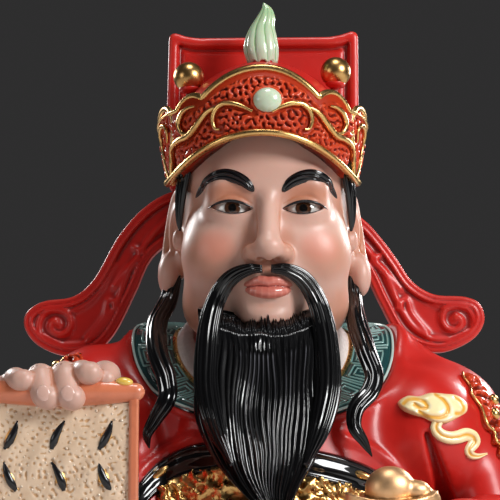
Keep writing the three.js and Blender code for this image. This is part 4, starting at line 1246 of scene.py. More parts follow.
def makeCrown():
    plan = crownPlan
    around, rows = plan["around"], plan["rows"]
    u, s = np.meshgrid(np.arange(around) / around, np.arange(rows) / rows)
    turn = fullTurn * (u - 0.5) - 0.5 * np.sin(fullTurn * (u - 0.5))
    rim, top = crownRim(turn), crownTop(turn)
    up, over, down = (np.clip((s - start) / share, 0, 1) for start, share in plan["spans"])
    height = mix(rim, top, up) + 0.8 * np.sin(np.pi * over) * (down == 0)
    height = np.where(down > 0, mix(top, rim + 0.6, down), height)
    fromRim, fromTop = height - rim, top - height
    field = smooth((fromRim - plan["rimBand"]) / 0.8) * smooth((fromTop - plan["topBand"]) / 0.9)
    field = field * (over == 0)
    first, last = (smooth((np.abs(turn) - math.radians(end)) / 0.1) for end in plan["bare"])
    bare = first * (1 - last)
    field = field * smooth((fromGold(turn, height) - plan["goldBand"]) / 0.8) * (1 - bare)
    places = np.stack([turn * plan["reach"], height], -1)
    pattern = worms(places, plan["wormLength"], 7) + 0.5 * worms(places, plan["fineWorms"], 8)
    hill = smooth((pattern + 0.95) / 1.1)
    out = plan["relief"] * hill * field - 0.15 * field - plan["lip"] * smooth(over)
    out -= plan["innerDepth"] * smooth((down - 0.5) / 0.5) + plan["bareDepth"] * bare * (over == 0)
    # the mark is full in the carving's pits, half along the plain bands and full under the rim; the carved
    # glaze darkens it all, which paints the shade there
    pit = (1 - hill) * field + 0.55 * (1 - field) * (over == 0) + smooth((down - 0.45) / 0.3)
    shell = ringShell(crownPoint(turn, height, out), loop=True, pit=pit)
    addPiece("crown_wall", shell, "carved")


def crownLine(points, side, out, steps):
    flat = smoothPath(points, steps)
    return crownPoint(side * np.radians(flat[:, 0]), flat[:, 1], out)


# the leaf over each ear, through (turn in degrees, height), carved like the crown
flapPlan = {"outline": [(78, 108.6), (86.5, 113.4), (90.5, 119.6), (89.6, 125.4), (83, 129.2), (72, 131.4),
                        (62, 130), (57.4, 126), (59.4, 122), (65, 117.2), (71, 112.6)],
            "middle": (74.5, 121), "rings": 26, "steps": 120, "wormLength": 3.2, "sunk": 1.6, "relief": 0.9,
            "edge": 0.6, "back": 2.8}


def flapEdge(side, steps=90, shrink=0.0):
    middle = np.array(flapPlan["middle"])
    drawn = [middle + (np.array(point) - middle) * (1 - shrink) for point in flapPlan["outline"]]
    return smoothPath([(side * turn, height) for turn, height in drawn], steps, loop=True)


def makeCrownGold():
    threads = []
    full = np.linspace(-math.pi, math.pi, 260, endpoint=False)
    threads.append((crownPoint(full, crownRim(full) + 0.7, 0.3), 1.15, True))
    for side in (-1, 1):
        for key, girth in crownGirths.items():
            threads.append((crownLine(crownPlan[key], side, 0.75, 60), girth * tapered(60, 0.5), False))
        edge = flapEdge(side)
        threads.append((crownPoint(np.radians(edge[:, 0]), edge[:, 1], -0.9), 1.0, True))
        inner = flapEdge(side, shrink=0.5)[8:70]
        curl = crownPoint(np.radians(inner[:, 0]), inner[:, 1], -0.4)
        threads.append((curl, 0.85 * tapered(len(curl), 0.4), False))
    front = np.linspace(-math.radians(60), math.radians(60), 300)
    top = crownTop(front)
    threads.append((crownPoint(front, top + 0.2, -0.1), 1.3 * tapered(300, 0.6), False))
    back = np.linspace(math.radians(62), fullTurn - math.radians(62), 140)
    wrapped = (back + math.pi) % fullTurn - math.pi
    threads.append((crownPoint(back, crownTop(wrapped) + 0.2, -0.1), 0.9 * tapered(140, 0.4), False))
    addCords("crown_gold", threads, 1.0, "gold", 8)


def makeFlaps():
    plan, parts = flapPlan, []
    for side in (-1, 1):
        rings = np.linspace(0.02, 1, plan["rings"])
        edge = flapEdge(side, plan["steps"])
        middle = edge.mean(axis=0)
        flat = middle + (edge - middle) * rings[:, None, None]
        pattern = worms(flat * [0.61, 1], plan["wormLength"], 17)
        field = smooth((1 - rings)[:, None] / 0.16)
        hill = smooth((pattern + 0.6) / 1.1)
        turn, height = np.radians(flat[..., 0]), flat[..., 1]
        rise = -plan["sunk"] + plan["relief"] * hill * field + plan["edge"] * (1 - field)
        front, rear = crownPoint(turn, height, rise), crownPoint(turn, height, -plan["back"])[::-5]
        parts.append(backed(front, rear, (1 - hill) * field))
    addPiece("side_flaps", together(*parts), "carved")


capPlan = {"middle": (-1, -4, 118), "radii": (29, 29.5, 29.8)}
stonePlan = {"middle": (-0.4, -36.6, 129), "radii": (4.3, 2.8, 3.8), "seat": (4.45, 3.95), "seatDepth": -36.2}


def makeCap():
    way = roundWays(120, math.pi * np.linspace(0.01, 0.46, 40), **seamInFront)
    addPiece("cap_dome", ringShell(way * capPlan["radii"] + capPlan["middle"]), "red")


def makeJadeStone():
    plan = stonePlan
    way = roundWays(64, math.pi * np.linspace(0.01, 0.99, 36), **facingFront)
    addPiece("jade_stone", ringShell(way * plan["radii"] + plan["middle"]), "jade")
    ring = np.linspace(0, fullTurn, 60, endpoint=False)
    (x, _, z), (wide, tall) = plan["middle"], plan["seat"]
    seat = np.stack([x + wide * np.cos(ring), np.full(60, plan["seatDepth"]), z + tall * np.sin(ring)], -1)
    addCords("jade_seat", [(seat, 0.55, True)], 1.0, "carved", 8)


flamePlan = {"foot": 147.6, "top": 167, "ribs": 9, "rib": 0.12, "flat": 0.8, "back": -8,
             "width": [(0, 5.0), (0.17, 5.7), (0.4, 5.1), (0.58, 4.0), (0.79, 2.75), (0.93, 1.3), (1, 0.2)],
             "lean": [(0, -0.9), (0.17, -1.2), (0.4, -1.2), (0.58, -0.9), (0.79, 0.3), (0.93, 0.3),
                      (1, -0.5)]}


def makeFlame():
    plan = flamePlan
    width, lean = profile(plan["width"]), profile(plan["lean"])
    u, v = np.meshgrid(np.arange(108) / 108, np.linspace(0, 1, 56))
    turn = fullTurn * u
    lobes = np.abs(np.cos((plan["ribs"] * turn + 3 * v) / 2)) ** 0.5
    out = width(v) * (1 - plan["rib"] + plan["rib"] * lobes) * (1 + 0.02 * np.cos(3 * turn - 5 * v))
    notch = 0.9 * np.abs(np.sin((plan["ribs"] * turn + 3 * v) / 2)) ** 4 * (1 - v) ** 6
    height = mix(plan["foot"], plan["top"], v) - notch
    x, y = lean(v) + np.sin(turn) * out, plan["back"] - np.cos(turn) * out * plan["flat"]
    addPiece("jade_flame", ringShell(np.stack([x, y, height], -1)), "jade")


ballPlan = {"places": [(-24.5, -4, 143.4), (22.8, -4, 145.3)], "radius": 4.9, "stem": 10}


def makeBalls():
    way = roundWays(56, math.pi * np.linspace(0.01, 0.99, 32))
    balls = [ringShell(way * ballPlan["radius"] + place) for place in ballPlan["places"]]
    addPiece("gold_balls", together(*balls), "ballGold")
    collar = profile([(0, 2.6), (0.35, 1.5), (0.6, 1.4), (0.72, 2.9), (1, 3.0)])
    stems = []
    for x, y, z in ballPlan["places"]:
        path = np.linspace((x * 0.96, y, z - ballPlan["stem"]), (x, y, z - 2.4), 40)
        stems.append(strand(path, 40, roundSection(collar)))
    x, y, z = -0.9, flamePlan["back"], flamePlan["foot"]
    neck = profile([(0, 6), (0.5, 4.2), (1, 3.9)])
    stems.append(strand(np.linspace((x, y, z - 8), (x, y, z + 1), 30), 40, roundSection(neck, 0.8)))
    addPiece("ball_stems", together(*stems), "red")


# A plate that faces the front, with a raised edge and carving: its maps are read from an even grid.

def flatMap(function, low, high):
    step = 0.3
    low = np.array(low, float)
    counts = np.ceil((np.array(high) - low) / step).astype(int) + 2
    nodes = np.stack(np.meshgrid(*(low[i] + step * np.arange(counts[i]) for i in (0, 1)), indexing="ij"), -1)
    table = function(nodes)

    def read(x, z):
        a = np.clip((x - low[0]) / step, 0, counts[0] - 1.001)
        b = np.clip((z - low[1]) / step, 0, counts[1] - 1.001)
        i, j = a.astype(int), b.astype(int)
        s, t = a - i, b - j
        return ((table[i, j] * (1 - s) + table[i + 1, j] * s) * (1 - t)
                + (table[i, j + 1] * (1 - s) + table[i + 1, j + 1] * s) * t)

    return read


# distance to a closed outline, negative inside it
def outlineDistance(outline):
    ends = np.roll(outline, -1, axis=0)

    def distance(q):
        nearest, crossed = np.full(q.shape[:-1], np.inf), np.zeros(q.shape[:-1], bool)
        for a, b in zip(outline, ends):
            run = b - a
            nearest = np.minimum(nearest, fromStretch(q, a, b)[0])
            straddles = (a[1] > q[..., 1]) != (b[1] > q[..., 1])
            if a[1] != b[1]:
                crossed ^= straddles & (q[..., 0] < a[0] + run[0] * (q[..., 1] - a[1]) / run[1])
        return np.where(crossed, -nearest, nearest)

    return distance


def lineDistance(path):
    return lambda q: np.minimum.reduce([fromStretch(q, a, b)[0] for a, b in zip(path[:-1], path[1:])])


def plate(outline, front, back, relief, corner=0.0):
    low, high = outline.min(axis=0) - corner - 2, outline.max(axis=0) + corner + 2
    edge = outlineDistance(outline)
    edgeMap = flatMap(lambda q: edge(q) - corner, low, high)
    reliefMap = flatMap(lambda q: relief(q, corner - edge(q)), low, high)

    def form(p):
        x, y, z = p[..., 0], p[..., 1], p[..., 2]
        surface = front - reliefMap(x, z)
        face = -softMin(0.9, y - surface, back - y)
        return -softMin(1.3, -edgeMap(x, z), -face)

    return form, low, high


boardPlan = {"halfWidth": 31.2, "foot": 112, "top": 159.5, "cornerRise": 1.8, "corner": 2.0, "tilt": 0.018,
             "front": 7.6, "thick": 15, "rim": 2.6, "relief": 1.4}


def makeBoard():
    plan = boardPlan
    half, corner = plan["halfWidth"] - plan["corner"], plan["corner"]
    across = np.linspace(1, -1, 41)
    rise = plan["cornerRise"] * np.clip((np.abs(across) - 0.7) / 0.3, 0, 1) ** 2
    top = list(zip(across * half, plan["top"] - corner + (rise + plan["tilt"] * across * half)))
    outline = np.array([(-half, plan["foot"]), (half, plan["foot"]), (half, 136)] + top
                       + [(-half - 0.5, 136)])

    def relief(_, inside):
        rim = plan["relief"] * (1 - smooth((inside - plan["rim"]) / 0.9))
        groove = -0.9 * np.exp(-((inside - plan["rim"] - 1.6) / 0.7) ** 2)
        return rim + groove

    form, low, high = plate(outline, plan["front"], plan["front"] + plan["thick"], relief, corner)
    rear = ellipsoid((0, 18, 124), (27, 18, 26))
    whole = melt(1.5, form, rear)
    shell = skin(whole, (low[0], -8, 99), (high[0], 36, high[1]), 0.9)
    addPiece("hat_board", shell, "red")


wingPlan = {"front": 20, "thick": 4.2, "rim": 2.6, "relief": 1.3, "vein": 1.1}
wings = {
    "wing_left": {
        "edge": [(-20, 111), (-31.3, 109.5), (-39.9, 104.1), (-47.8, 94.9), (-56.6, 79.5), (-62.5, 74.8),
                 (-73, 72.9), (-77.8, 69.5), (-78.7, 65.8), (-76.8, 61.4), (-72.6, 57.8), (-64, 55),
                 (-55, 56.6), (-49.5, 61.6), (-42.3, 75.5), (-36.4, 88), (-24, 98)],
        "eye": (-67.6, 65.4),
        "stem": [(-66, 58.6), (-58.5, 59.4), (-52.6, 64.4), (-48.6, 71.6), (-45.4, 80), (-41, 88.6),
                 (-36, 96), (-30, 102)],
        "leaves": [[(-57.6, 61.2), (-52.2, 68.4), (-50.6, 73.4), (-46.8, 70.6)],
                   [(-49, 78), (-44.4, 84.6), (-38.6, 88.6), (-42.4, 91)],
                   [(-70.5, 70.4), (-63, 70.4), (-57, 73.4), (-52.6, 79), (-49.4, 86)]]},
    "wing_right": {
        "edge": [(19, 109), (33.1, 101.3), (39, 95.2), (44.7, 87.5), (50, 79.8), (56.8, 75.8), (67.6, 74.9),
                 (72, 72.9), (73.7, 67.6), (71.4, 62.5), (66, 58.6), (58.3, 56.4), (50, 58.4), (44.7, 62.4),
                 (38.7, 73.1), (33, 84.5), (22, 95)],
        "eye": (63.8, 67.2),
        "stem": [(62, 60.6), (55, 61.4), (49.6, 65.2), (45.6, 71.4), (42.4, 78.6), (38.4, 85.6), (33.6, 92),
                 (27, 97)],
        "leaves": [[(54.4, 63.2), (49.4, 69.4), (47.6, 74), (44.4, 71)],
                   [(45.6, 77.6), (41, 83.4), (36, 86.6), (39.4, 89)],
                   [(66.6, 71.4), (59.6, 71.8), (54, 74.4), (50, 79), (46.6, 84.6)]]},
}


def makeWings():
    plan = wingPlan
    for name, wing in wings.items():
        outline = smoothPath(wing["edge"], 110, loop=True)
        eye = np.array(wing["eye"])
        side = np.sign(eye[0])
        turn = np.linspace(math.radians(30), math.radians(480), 46)
        radius = mix(1.5, 6.6, (turn - turn[0]) / (turn[-1] - turn[0]))
        coil = eye + np.stack([side * np.sin(turn), np.cos(turn)], -1) * radius[:, None]
        stem = smoothPath(wing["stem"], 40)
        lines = [np.vstack([coil, stem])] + [smoothPath(leaf, 16) for leaf in wing["leaves"]]
        nearLine = [lineDistance(line) for line in lines]

        def relief(q, inside):
            rim = plan["relief"] * (1 - smooth((inside - plan["rim"]) / 1.0))
            lip = -0.45 * np.exp(-((inside - 1.5) / 0.45) ** 2)
            veins = sum(plan["vein"] * size * np.exp(-(near(q) / 1.15) ** 2)
                        for near, size in zip(nearLine, (1, 0.7, 0.7, 0.6)))
            knob = 0.9 * np.exp(-(np.linalg.norm(q - eye, axis=-1) / 1.6) ** 2)
            return np.maximum(rim + lip, np.minimum(veins + knob, 1.3))

        form, low, high = plate(outline, plan["front"], plan["front"] + plan["thick"], relief)
        shell = skin(form, (low[0], plan["front"] - 4, low[1]), (high[0], plan["front"] + 6, high[1]), 0.6)
        addPiece(name, shell, "red")


print("building the hat")
makeCrown()
makeCrownGold()
makeFlaps()
makeCap()
makeJadeStone()
makeFlame()
makeBalls()
makeBoard()
makeWings()


# Robe and collar

collarPlan = {"middle": (-0.6, 1), "inner": (27.5, 25), "outer": (41, 36.475), "rise": 56.3, "dish": 1.9,
              "slope": 0.85, "breastSlope": 0.6, "breastStart": -20, "napeRise": 7, "thick": 1.8,
              "frets": 26, "fretLine": 0.42, "pitch": 8.2, "fretWidth": 13.5}


def collarHeight(y, across):
    plan = collarPlan
    behind = plan["napeRise"] * (1 - np.exp(-plan["slope"] * np.maximum(y, 0) / plan["napeRise"]))
    before = plan["slope"] * np.clip(y, plan["breastStart"], 0)
    return (plan["rise"] + plan["dish"] * across + behind + before
            + plan["breastSlope"] * np.minimum(y - plan["breastStart"], 0))


def collarPoint(turn, across, rise=0.0):
    turn, across, rise = np.broadcast_arrays(*(np.asarray(value, float) for value in (turn, across, rise)))
    (x, y), inner, outer = collarPlan["middle"], collarPlan["inner"], collarPlan["outer"]
    y = y - np.cos(turn) * mix(inner[1], outer[1], across)
    x = x + np.sin(turn) * mix(inner[0], outer[0], across)
    return np.stack([x, y, collarHeight(y, np.clip(across, 0, 1)) + rise], -1)


# 0 at the collar's inner edge and 1 at its outer one, as seen from above
def acrossCollar(p):
    dx, dy = p[..., 0] - collarPlan["middle"][0], p[..., 1] - collarPlan["middle"][1]
    inner = np.hypot(dx / collarPlan["inner"][0], dy / collarPlan["inner"][1])
    outer = np.hypot(dx / collarPlan["outer"][0], dy / collarPlan["outer"][1])
    return (inner - 1) / np.maximum(inner - outer, 1e-6)


def aboveCollar(p):
    lean = math.cos(math.atan(collarPlan["slope"]))
    return (p[..., 2] - collarHeight(p[..., 1], np.clip(acrossCollar(p), 0, 1))) * lean


def beyondCollar(p):
    dx, dy = p[..., 0] - collarPlan["middle"][0], p[..., 1] - collarPlan["middle"][1]
    outer = collarPlan["outer"]
    return (np.hypot(dx / outer[0], dy / outer[1]) - 1) * outer[1]


def bustForm():
    torso = ellipsoid((0, 3, 6), (57, 42, 47))
    chest = ellipsoid((0, -8, 14), (40, 30, 25))
    back = ellipsoid((0, 14, 40), (42, 26, 21))
    toLeft = limb((0, 6, 41), 20.5, (-52, 4, 38.5), 18.2)
    toRight = limb((0, 6, 40), 20.5, (56, 4, 32.5), 18.2)

    def yoke(p):
        above = aboveCollar(p)
        return np.maximum(np.maximum(beyondCollar(p) - 2.5, above), -above - 10)

    shoulder = limb((28, 6, 65), 8, (64, 4, 38), 8)
    folds = [ellipsoid((48, -8, 28), (21, 22, 22)), limb((-42, -24, 34), 6, (-38, -30, 4), 9),
             limb((-14, 41, 20), 3, (-18, 40.6, -4), 5), limb((16, 40.6, 24), 3, (24, 39.4, -4), 5)]
    trunk = melt(6, torso, chest, back, toLeft, toRight, yoke, shoulder, *folds)
    leftArm = melt(6, limb((-52, 4, 38.5), 18.2, (-73, -8, 2), 18.1),
                   limb((-50, -16, 40), 6, (-56, -26, 4), 8))
    rightArm = melt(6, limb((56, 4, 32.5), 18.2, (77, -8, -4), 17), limb((62, -10, 30), 9, (68, -21, 2), 9))
    body = melt(5, trunk, leftArm, rightArm)
    cleft = laidOn(body, [(47.4, 29), (49.4, 22.5), (52.4, 14), (55, 6), (57, -2)], 12, -0.8)
    return hollow(1.1, body, chain(cleft, np.linspace(1.0, 3.8, 12)))


robeMass = bustForm()
lapels = [[(-22, 28), (-31, 24), (-39, 17), (-43, 8)], [(22, 28), (31, 24.5), (39, 18), (45, 8)]]


def makeRobe():
    cloth = robeMass
    for lapel in lapels:
        cloth = melt(1.2, cloth, chain(laidOn(robeMass, lapel, 12, -0.5), 1.5))

    def bed(p):                       # the space over the collar, where the robe is pressed down
        above, beyond = aboveCollar(p), beyondCollar(p)
        return np.maximum(-above + 0.2, beyond - 0.5 - 0.5 * np.maximum(above, 0))

    addSkin("robe", hollow(0.8, cloth, bed), "red")
    arm = limb((-73, -8, 6), 16.5, (-61, -56, 25), 10.5)
    hanging = limb((-73, -20, 0), 16.5, (-62, -56, 6), 12)
    folds = [limb((-60, -32, 24), 2, (-54, -50, 4), 3.5), limb((-80, -30, 16), 2, (-74, -52, 4), 3)]
    addSkin("scroll_sleeve", within(melt(4, melt(9, arm, hanging), *folds), y=(-72, 40)), "red")
    arm = limb((77, -8, -3), 16.6, (50, -54, -4), 12)
    cuff = limb((56, -50, -4), 13, (44, -60, -5), 12)
    creases = limb((74, -30, 15), 0.8, (54, -62, 9), 1.0)
    addSkin("ingot_sleeve", hollow(4, melt(8, arm, cuff), creases), "red")


# rings round the neck: section points are (across, rise)
def neckRing(section):
    section, steps = np.array(section, float), 220
    turn = np.arange(steps) / steps * fullTurn
    return ringShell(collarPoint(turn[None, :], section[:, :1], section[:, 1:]), loop=True)


fretMotif = [(-3.6, -5.4), (-3.6, 5.4), (3.6, 5.4), (3.6, -4), (-2.3, -4), (-2.3, 4), (2.3, 4), (2.3, -2.6),
             (-1, -2.6), (-1, 2.6), (1, 2.6), (1, -1.2)]


def makeCollar():
    plan = collarPlan
    top = plan["thick"]
    across = np.linspace(0, 1, 15)
    band = [(t, top - 0.9 * (abs(2 * t - 1)) ** 8) for t in across]
    addPiece("collar_band", neckRing(band + [(1, -3), (0.5, -3.5), (0, -3)]), "teal")
    inner = [(-0.40, -4), (-0.40, 5), (-0.36, 5.9), (-0.30, 6.1), (-0.24, 5.8), (-0.16, 4.9), (-0.06, 3.2),
             (0.03, 1.6), (0.03, -3)]
    addPiece("inner_collar", neckRing(inner), "white")
    turn = np.arange(260) / 260 * fullTurn
    addCords("collar_piping", [(collarPoint(turn, 1.02, top - 0.5), 1.0, True)], 0.45, "fret", 12)
    addCords("collar_gold", [(collarPoint(turn, 0.03, top), 1.0, True)], 0.75, "gold", 10)
    stepLength = 0.9
    drawn = [np.linspace(a, b, max(2, int(math.dist(a, b) / stepLength)), endpoint=False)
             for a, b in zip(fretMotif, fretMotif[1:])]
    drawn = np.vstack(drawn + [fretMotif[-1:]])
    motif = np.column_stack([drawn, np.zeros(len(drawn))])
    sizes = {"Count": plan["frets"], "Pitch": plan["pitch"] / metre, "Line": plan["fretLine"] / metre,
             "Finish": finishes["fret"]}
    piece = grow("collar_fret", threadMesh("collar_fret", [(motif, 1.0, False)]), fretTree, sizes)
    flat = spotsOf(piece.data).astype(float) * metre
    turn = flat[:, 0] / (plan["pitch"] * plan["frets"]) * fullTurn
    placed = collarPoint(turn, 0.5 + flat[:, 1] / plan["fretWidth"], top - 0.1 + flat[:, 2])
    placeSpots(piece.data, placed / metre)
    piece.data.update()
    creaseMark(piece.data)
    finishPiece(piece, slotNames["fret"])


strapPlan = {"line": [(-40, 8.5), (-32.3, 16.8), (-27, 20), (-16, 22.6), (0, 22.4), (14, 20), (26.4, 16.6),
                      (40, 10)],
             "width": 9.2, "rise": 1.5, "studs": (-32.3, 26.8), "studRise": 0.8}
strapHeight = profile(strapPlan["line"])


def makeStrap():
    plan = strapPlan
    x = np.linspace(plan["line"][0][0], plan["line"][-1][0], 120)[:, None]
    across = np.linspace(-1, 1, 25)[None, :]
    z = strapHeight(x) + across * plan["width"] / 2
    ridges = 0.55 * (np.exp(-((np.abs(across) - 0.78) / 0.14) ** 2) + 0.5 * np.exp(-(across / 0.3) ** 2))
    out = plan["rise"] * (1 - np.abs(across) ** 10) + ridges
    front = frontOf(robeMass, x, z)
    rear = front[:, ::-6] + (0, 3, 0)
    front[..., 1] -= out
    grid = np.concatenate([front, rear], axis=1)
    addPiece("breast_strap", ringShell(grid), "black")

    def onStrap(x):
        return frontOf(robeMass, x, strapHeight(x) + plan["studRise"], plan["rise"])

    places = [onStrap(x) for x in plan["studs"]]
    along = [onStrap(x + 1) - place for x, place in zip(plan["studs"], places)]
    addStuds("strap_studs", places, [(0, -1, 0.25)] * 2, along, (3.6, 1.2, 1.1), "gold")


platePlan = {"middle": (0, -22, -2), "radii": (30, 27.4, 19), "halfWidth": 30, "out": 2.4, "scroll": 5.6,
             "relief": 1.6}


def makeBellyPlate():
    plan = platePlan
    egg = ellipsoid(plan["middle"], plan["radii"])

    def carved(p):
        x, y, z = p[..., 0], p[..., 1], p[..., 2]
        leaf = np.maximum(np.abs(x + 2) - plan["halfWidth"], z - strapHeight(x) + strapPlan["width"] / 2 - 1)
        leaf = np.maximum(np.maximum(robeMass(p) - plan["out"], leaf), y + 12)
        crumple = np.clip(1 - np.abs(worms(p, plan["scroll"], 5)), 0, 1)
        crumple = crumple + 0.45 * np.clip(1 - np.abs(worms(p, plan["scroll"] / 2, 6)), 0, 1)
        return softMin(3, egg(p), leaf) + 0.9 - plan["relief"] * crumple

    addSkin("belly_plate", carved, "gold")


# the cloud on the breast, through (x, z)
cloudPlan = {
    "outline": [(39.2, 38.6), (42.1, 40.7), (45.5, 40.6), (48.9, 41.6), (53.7, 41.4), (57.5, 41),
                (60.6, 38.8), (60.4, 36.2), (56.9, 34), (53.1, 32.4), (49.4, 32.6), (46.4, 34), (43.1, 35),
                (40.4, 36.4)],
    "middle": (50.3, 37.4), "thick": 2.3,
    "ridges": [[(50.5, 41), (52.6, 39.4), (53.9, 37), (53.4, 35.2), (51.2, 34.1), (47.4, 34.5), (45, 35.9)],
               [(40.6, 38.3), (42.1, 39.5), (44.8, 39.6), (46.9, 38.6), (47.4, 37.3), (45.8, 36.8),
                (43.9, 38)],
               [(56.4, 40.2), (58.3, 38.9), (59.1, 37), (58.3, 35.7), (56.4, 35.3)]],
    "tail": [(52.6, 34.4), (50.6, 32.8), (50, 30.8), (51.4, 29), (54.4, 28.1), (57, 28.4), (59.6, 29.1),
             (61.7, 28.4), (62.3, 27), (61.2, 25.6), (60.3, 24.4), (61, 23.1), (63, 22.6), (66.4, 23.4)],
}


def makeCloud():
    plan = cloudPlan
    middle = np.array(plan["middle"])
    edge = smoothPath(plan["outline"], 160, loop=True)
    rings = np.linspace(0.01, 1, 40)
    flat = middle + (edge - middle) * rings[:, None, None]
    inside = outlineDistance(edge)(flat)
    pillow = np.sqrt(np.clip(1 - np.clip(1 + inside / 2.2, 0, 1) ** 2, 0, 1))
    near = np.minimum.reduce([lineDistance(smoothPath(line, 30))(flat) for line in plan["ridges"]])
    ridge = np.exp(-((near / 0.75) ** 2))
    rim = np.exp(-(((inside + 1.0) / 0.7) ** 2))
    height = plan["thick"] * pillow + 0.4 * rim - 0.7 * ridge
    front = frontOf(robeMass, flat[..., 0], flat[..., 1])
    rear = front[::-13] + (0, 1.6, 0)
    front[..., 1] -= height
    parts = [backed(front, rear, ridge)]
    width = profile([(0, 1.4), (0.3, 1.9), (0.75, 1.6), (1, 0.3)])

    def section(u, v):
        turn = fullTurn * u
        groove = 0.45 * np.exp(-((np.cos(turn) / 0.35) ** 2)) * np.clip(np.sin(turn), 0, 1)
        return width(v) * np.cos(turn), (1.1 - groove) * np.sin(turn) * np.clip(width(v), 0.3, 1)

    def pitted(u, _):
        turn = fullTurn * u
        return np.exp(-((np.cos(turn) / 0.3) ** 2)) * (np.sin(turn) > 0)

    parts.append(strand(laidOn(robeMass, plan["tail"], 80, 0.4), 32, section, pit=pitted))
    addPiece("cloud_relief", together(*parts), "cloud")


# the carved guard over each sleeve
guardPlans = {
    "guard_right": {"path": [(63.8, 47.6), (65.6, 43), (67.8, 38.2), (71, 32.6), (74.6, 25.6), (78, 17),
                             (79.6, 5)],
                    "width": [(0, 2.8), (0.22, 6.2), (1, 6.8)],
                    "bosses": [(0.22, -0.3), (0.3, 0.45), (0.62, 0)]},
    "guard_left": {"path": [(-56.8, 52.4), (-61.6, 50.4), (-65.2, 46.4), (-67.8, 40), (-69, 32)],
                   "width": [(0, 2.2), (0.3, 4.6), (1, 5)], "bosses": [(0.3, 0.2)]},
}


guardLook = {"steps": 110, "across": 40, "scallop": 0.14, "scallops": 46, "arch": 1.6, "relief": 1.3,
             "sunk": 0.5, "depth": 2.2, "wormLength": 3.0, "fineWorms": 1.5, "goldGirth": 0.6,
             "boss": (1.9, 1.7, 1.4), "bossRise": 2.4}


def makeGuards():
    look = guardLook
    for seed, (name, guard) in enumerate(guardPlans.items()):
        path = laidOn(robeMass, guard["path"], look["steps"])
        width = profile(guard["width"])
        way = unit(np.gradient(path, axis=0))
        side = unit(np.cross(way, slopeOf(robeMass, path)))
        up = np.cross(side, way)
        v = np.linspace(0, 1, len(path))[:, None]
        across = np.linspace(-1, 1, look["across"])[None, :]
        arch = np.sqrt(1 - 0.96 * across**2)
        scallop = 1 + look["scallop"] * np.sin(v * look["scallops"])
        base = path[:, None] + side[:, None] * (across * width(v) * scallop)[..., None]
        pattern = worms(base, look["wormLength"], 61 + seed) + 0.4 * worms(base, look["fineWorms"], 63 + seed)
        hill = smooth((pattern + 0.7) / 0.9)
        field = smooth((1 - np.abs(across)) / 0.2) * smooth(v / 0.05) * smooth((1 - v) / 0.05)
        out = look["arch"] * arch + look["relief"] * hill * field - look["sunk"]
        front = base + up[:, None] * out[..., None]
        rear = (base - up[:, None] * look["depth"])[:, ::-13]
        addPiece(name, backed(front, rear, (1 - hill) * field, axis=1), "carved")
        threads = []
        for edge in (-1, 1):
            line = path + side * (edge * (width(v) * scallop)[:, 0] * 0.98)[:, None] + up * 0.6
            threads.append((line, look["goldGirth"] * tapered(len(line), 0.6), False))
        addCords(name + "_gold", threads, 1.0, "gold", 10)
        places = []
        for along, sideways in guard["bosses"]:
            i = int(along * (len(path) - 1))
            places.append(path[i] + side[i] * sideways * width(v[i, 0]) + up[i] * look["bossRise"])
        addStuds(name + "_bosses", places, slopeOf(robeMass, np.array(places)), [(0, 0, 1)] * len(places),
                 look["boss"], "gold")


print("draping the robe")
makeRobe()
makeCollar()
makeStrap()
makeBellyPlate()
makeCloud()
makeGuards()


# Scroll, hands and ingot

scrollPlan = {"middle": -58.1, "front": -78, "top": 37.5, "width": 43, "thick": 4.6, "frame": 2.6,
              "relief": 1.0, "rod": 2.5, "overhang": 1.6, "rows": (28.5, 17.5, 6.5), "inRow": 3, "half": 3.8,
              "slant": 1.7, "pocks": (4.2, 1.6), "swell": 7, "pebbleGap": 1.7, "pebble": 0.42,
              "strokeGirth": (1.45, 0.85), "goldRim": 0.75, "knob": (17.6, -1.2, 2.7)}
rodPlace = (scrollPlan["front"] + 1.4, scrollPlan["top"] + 2.5)


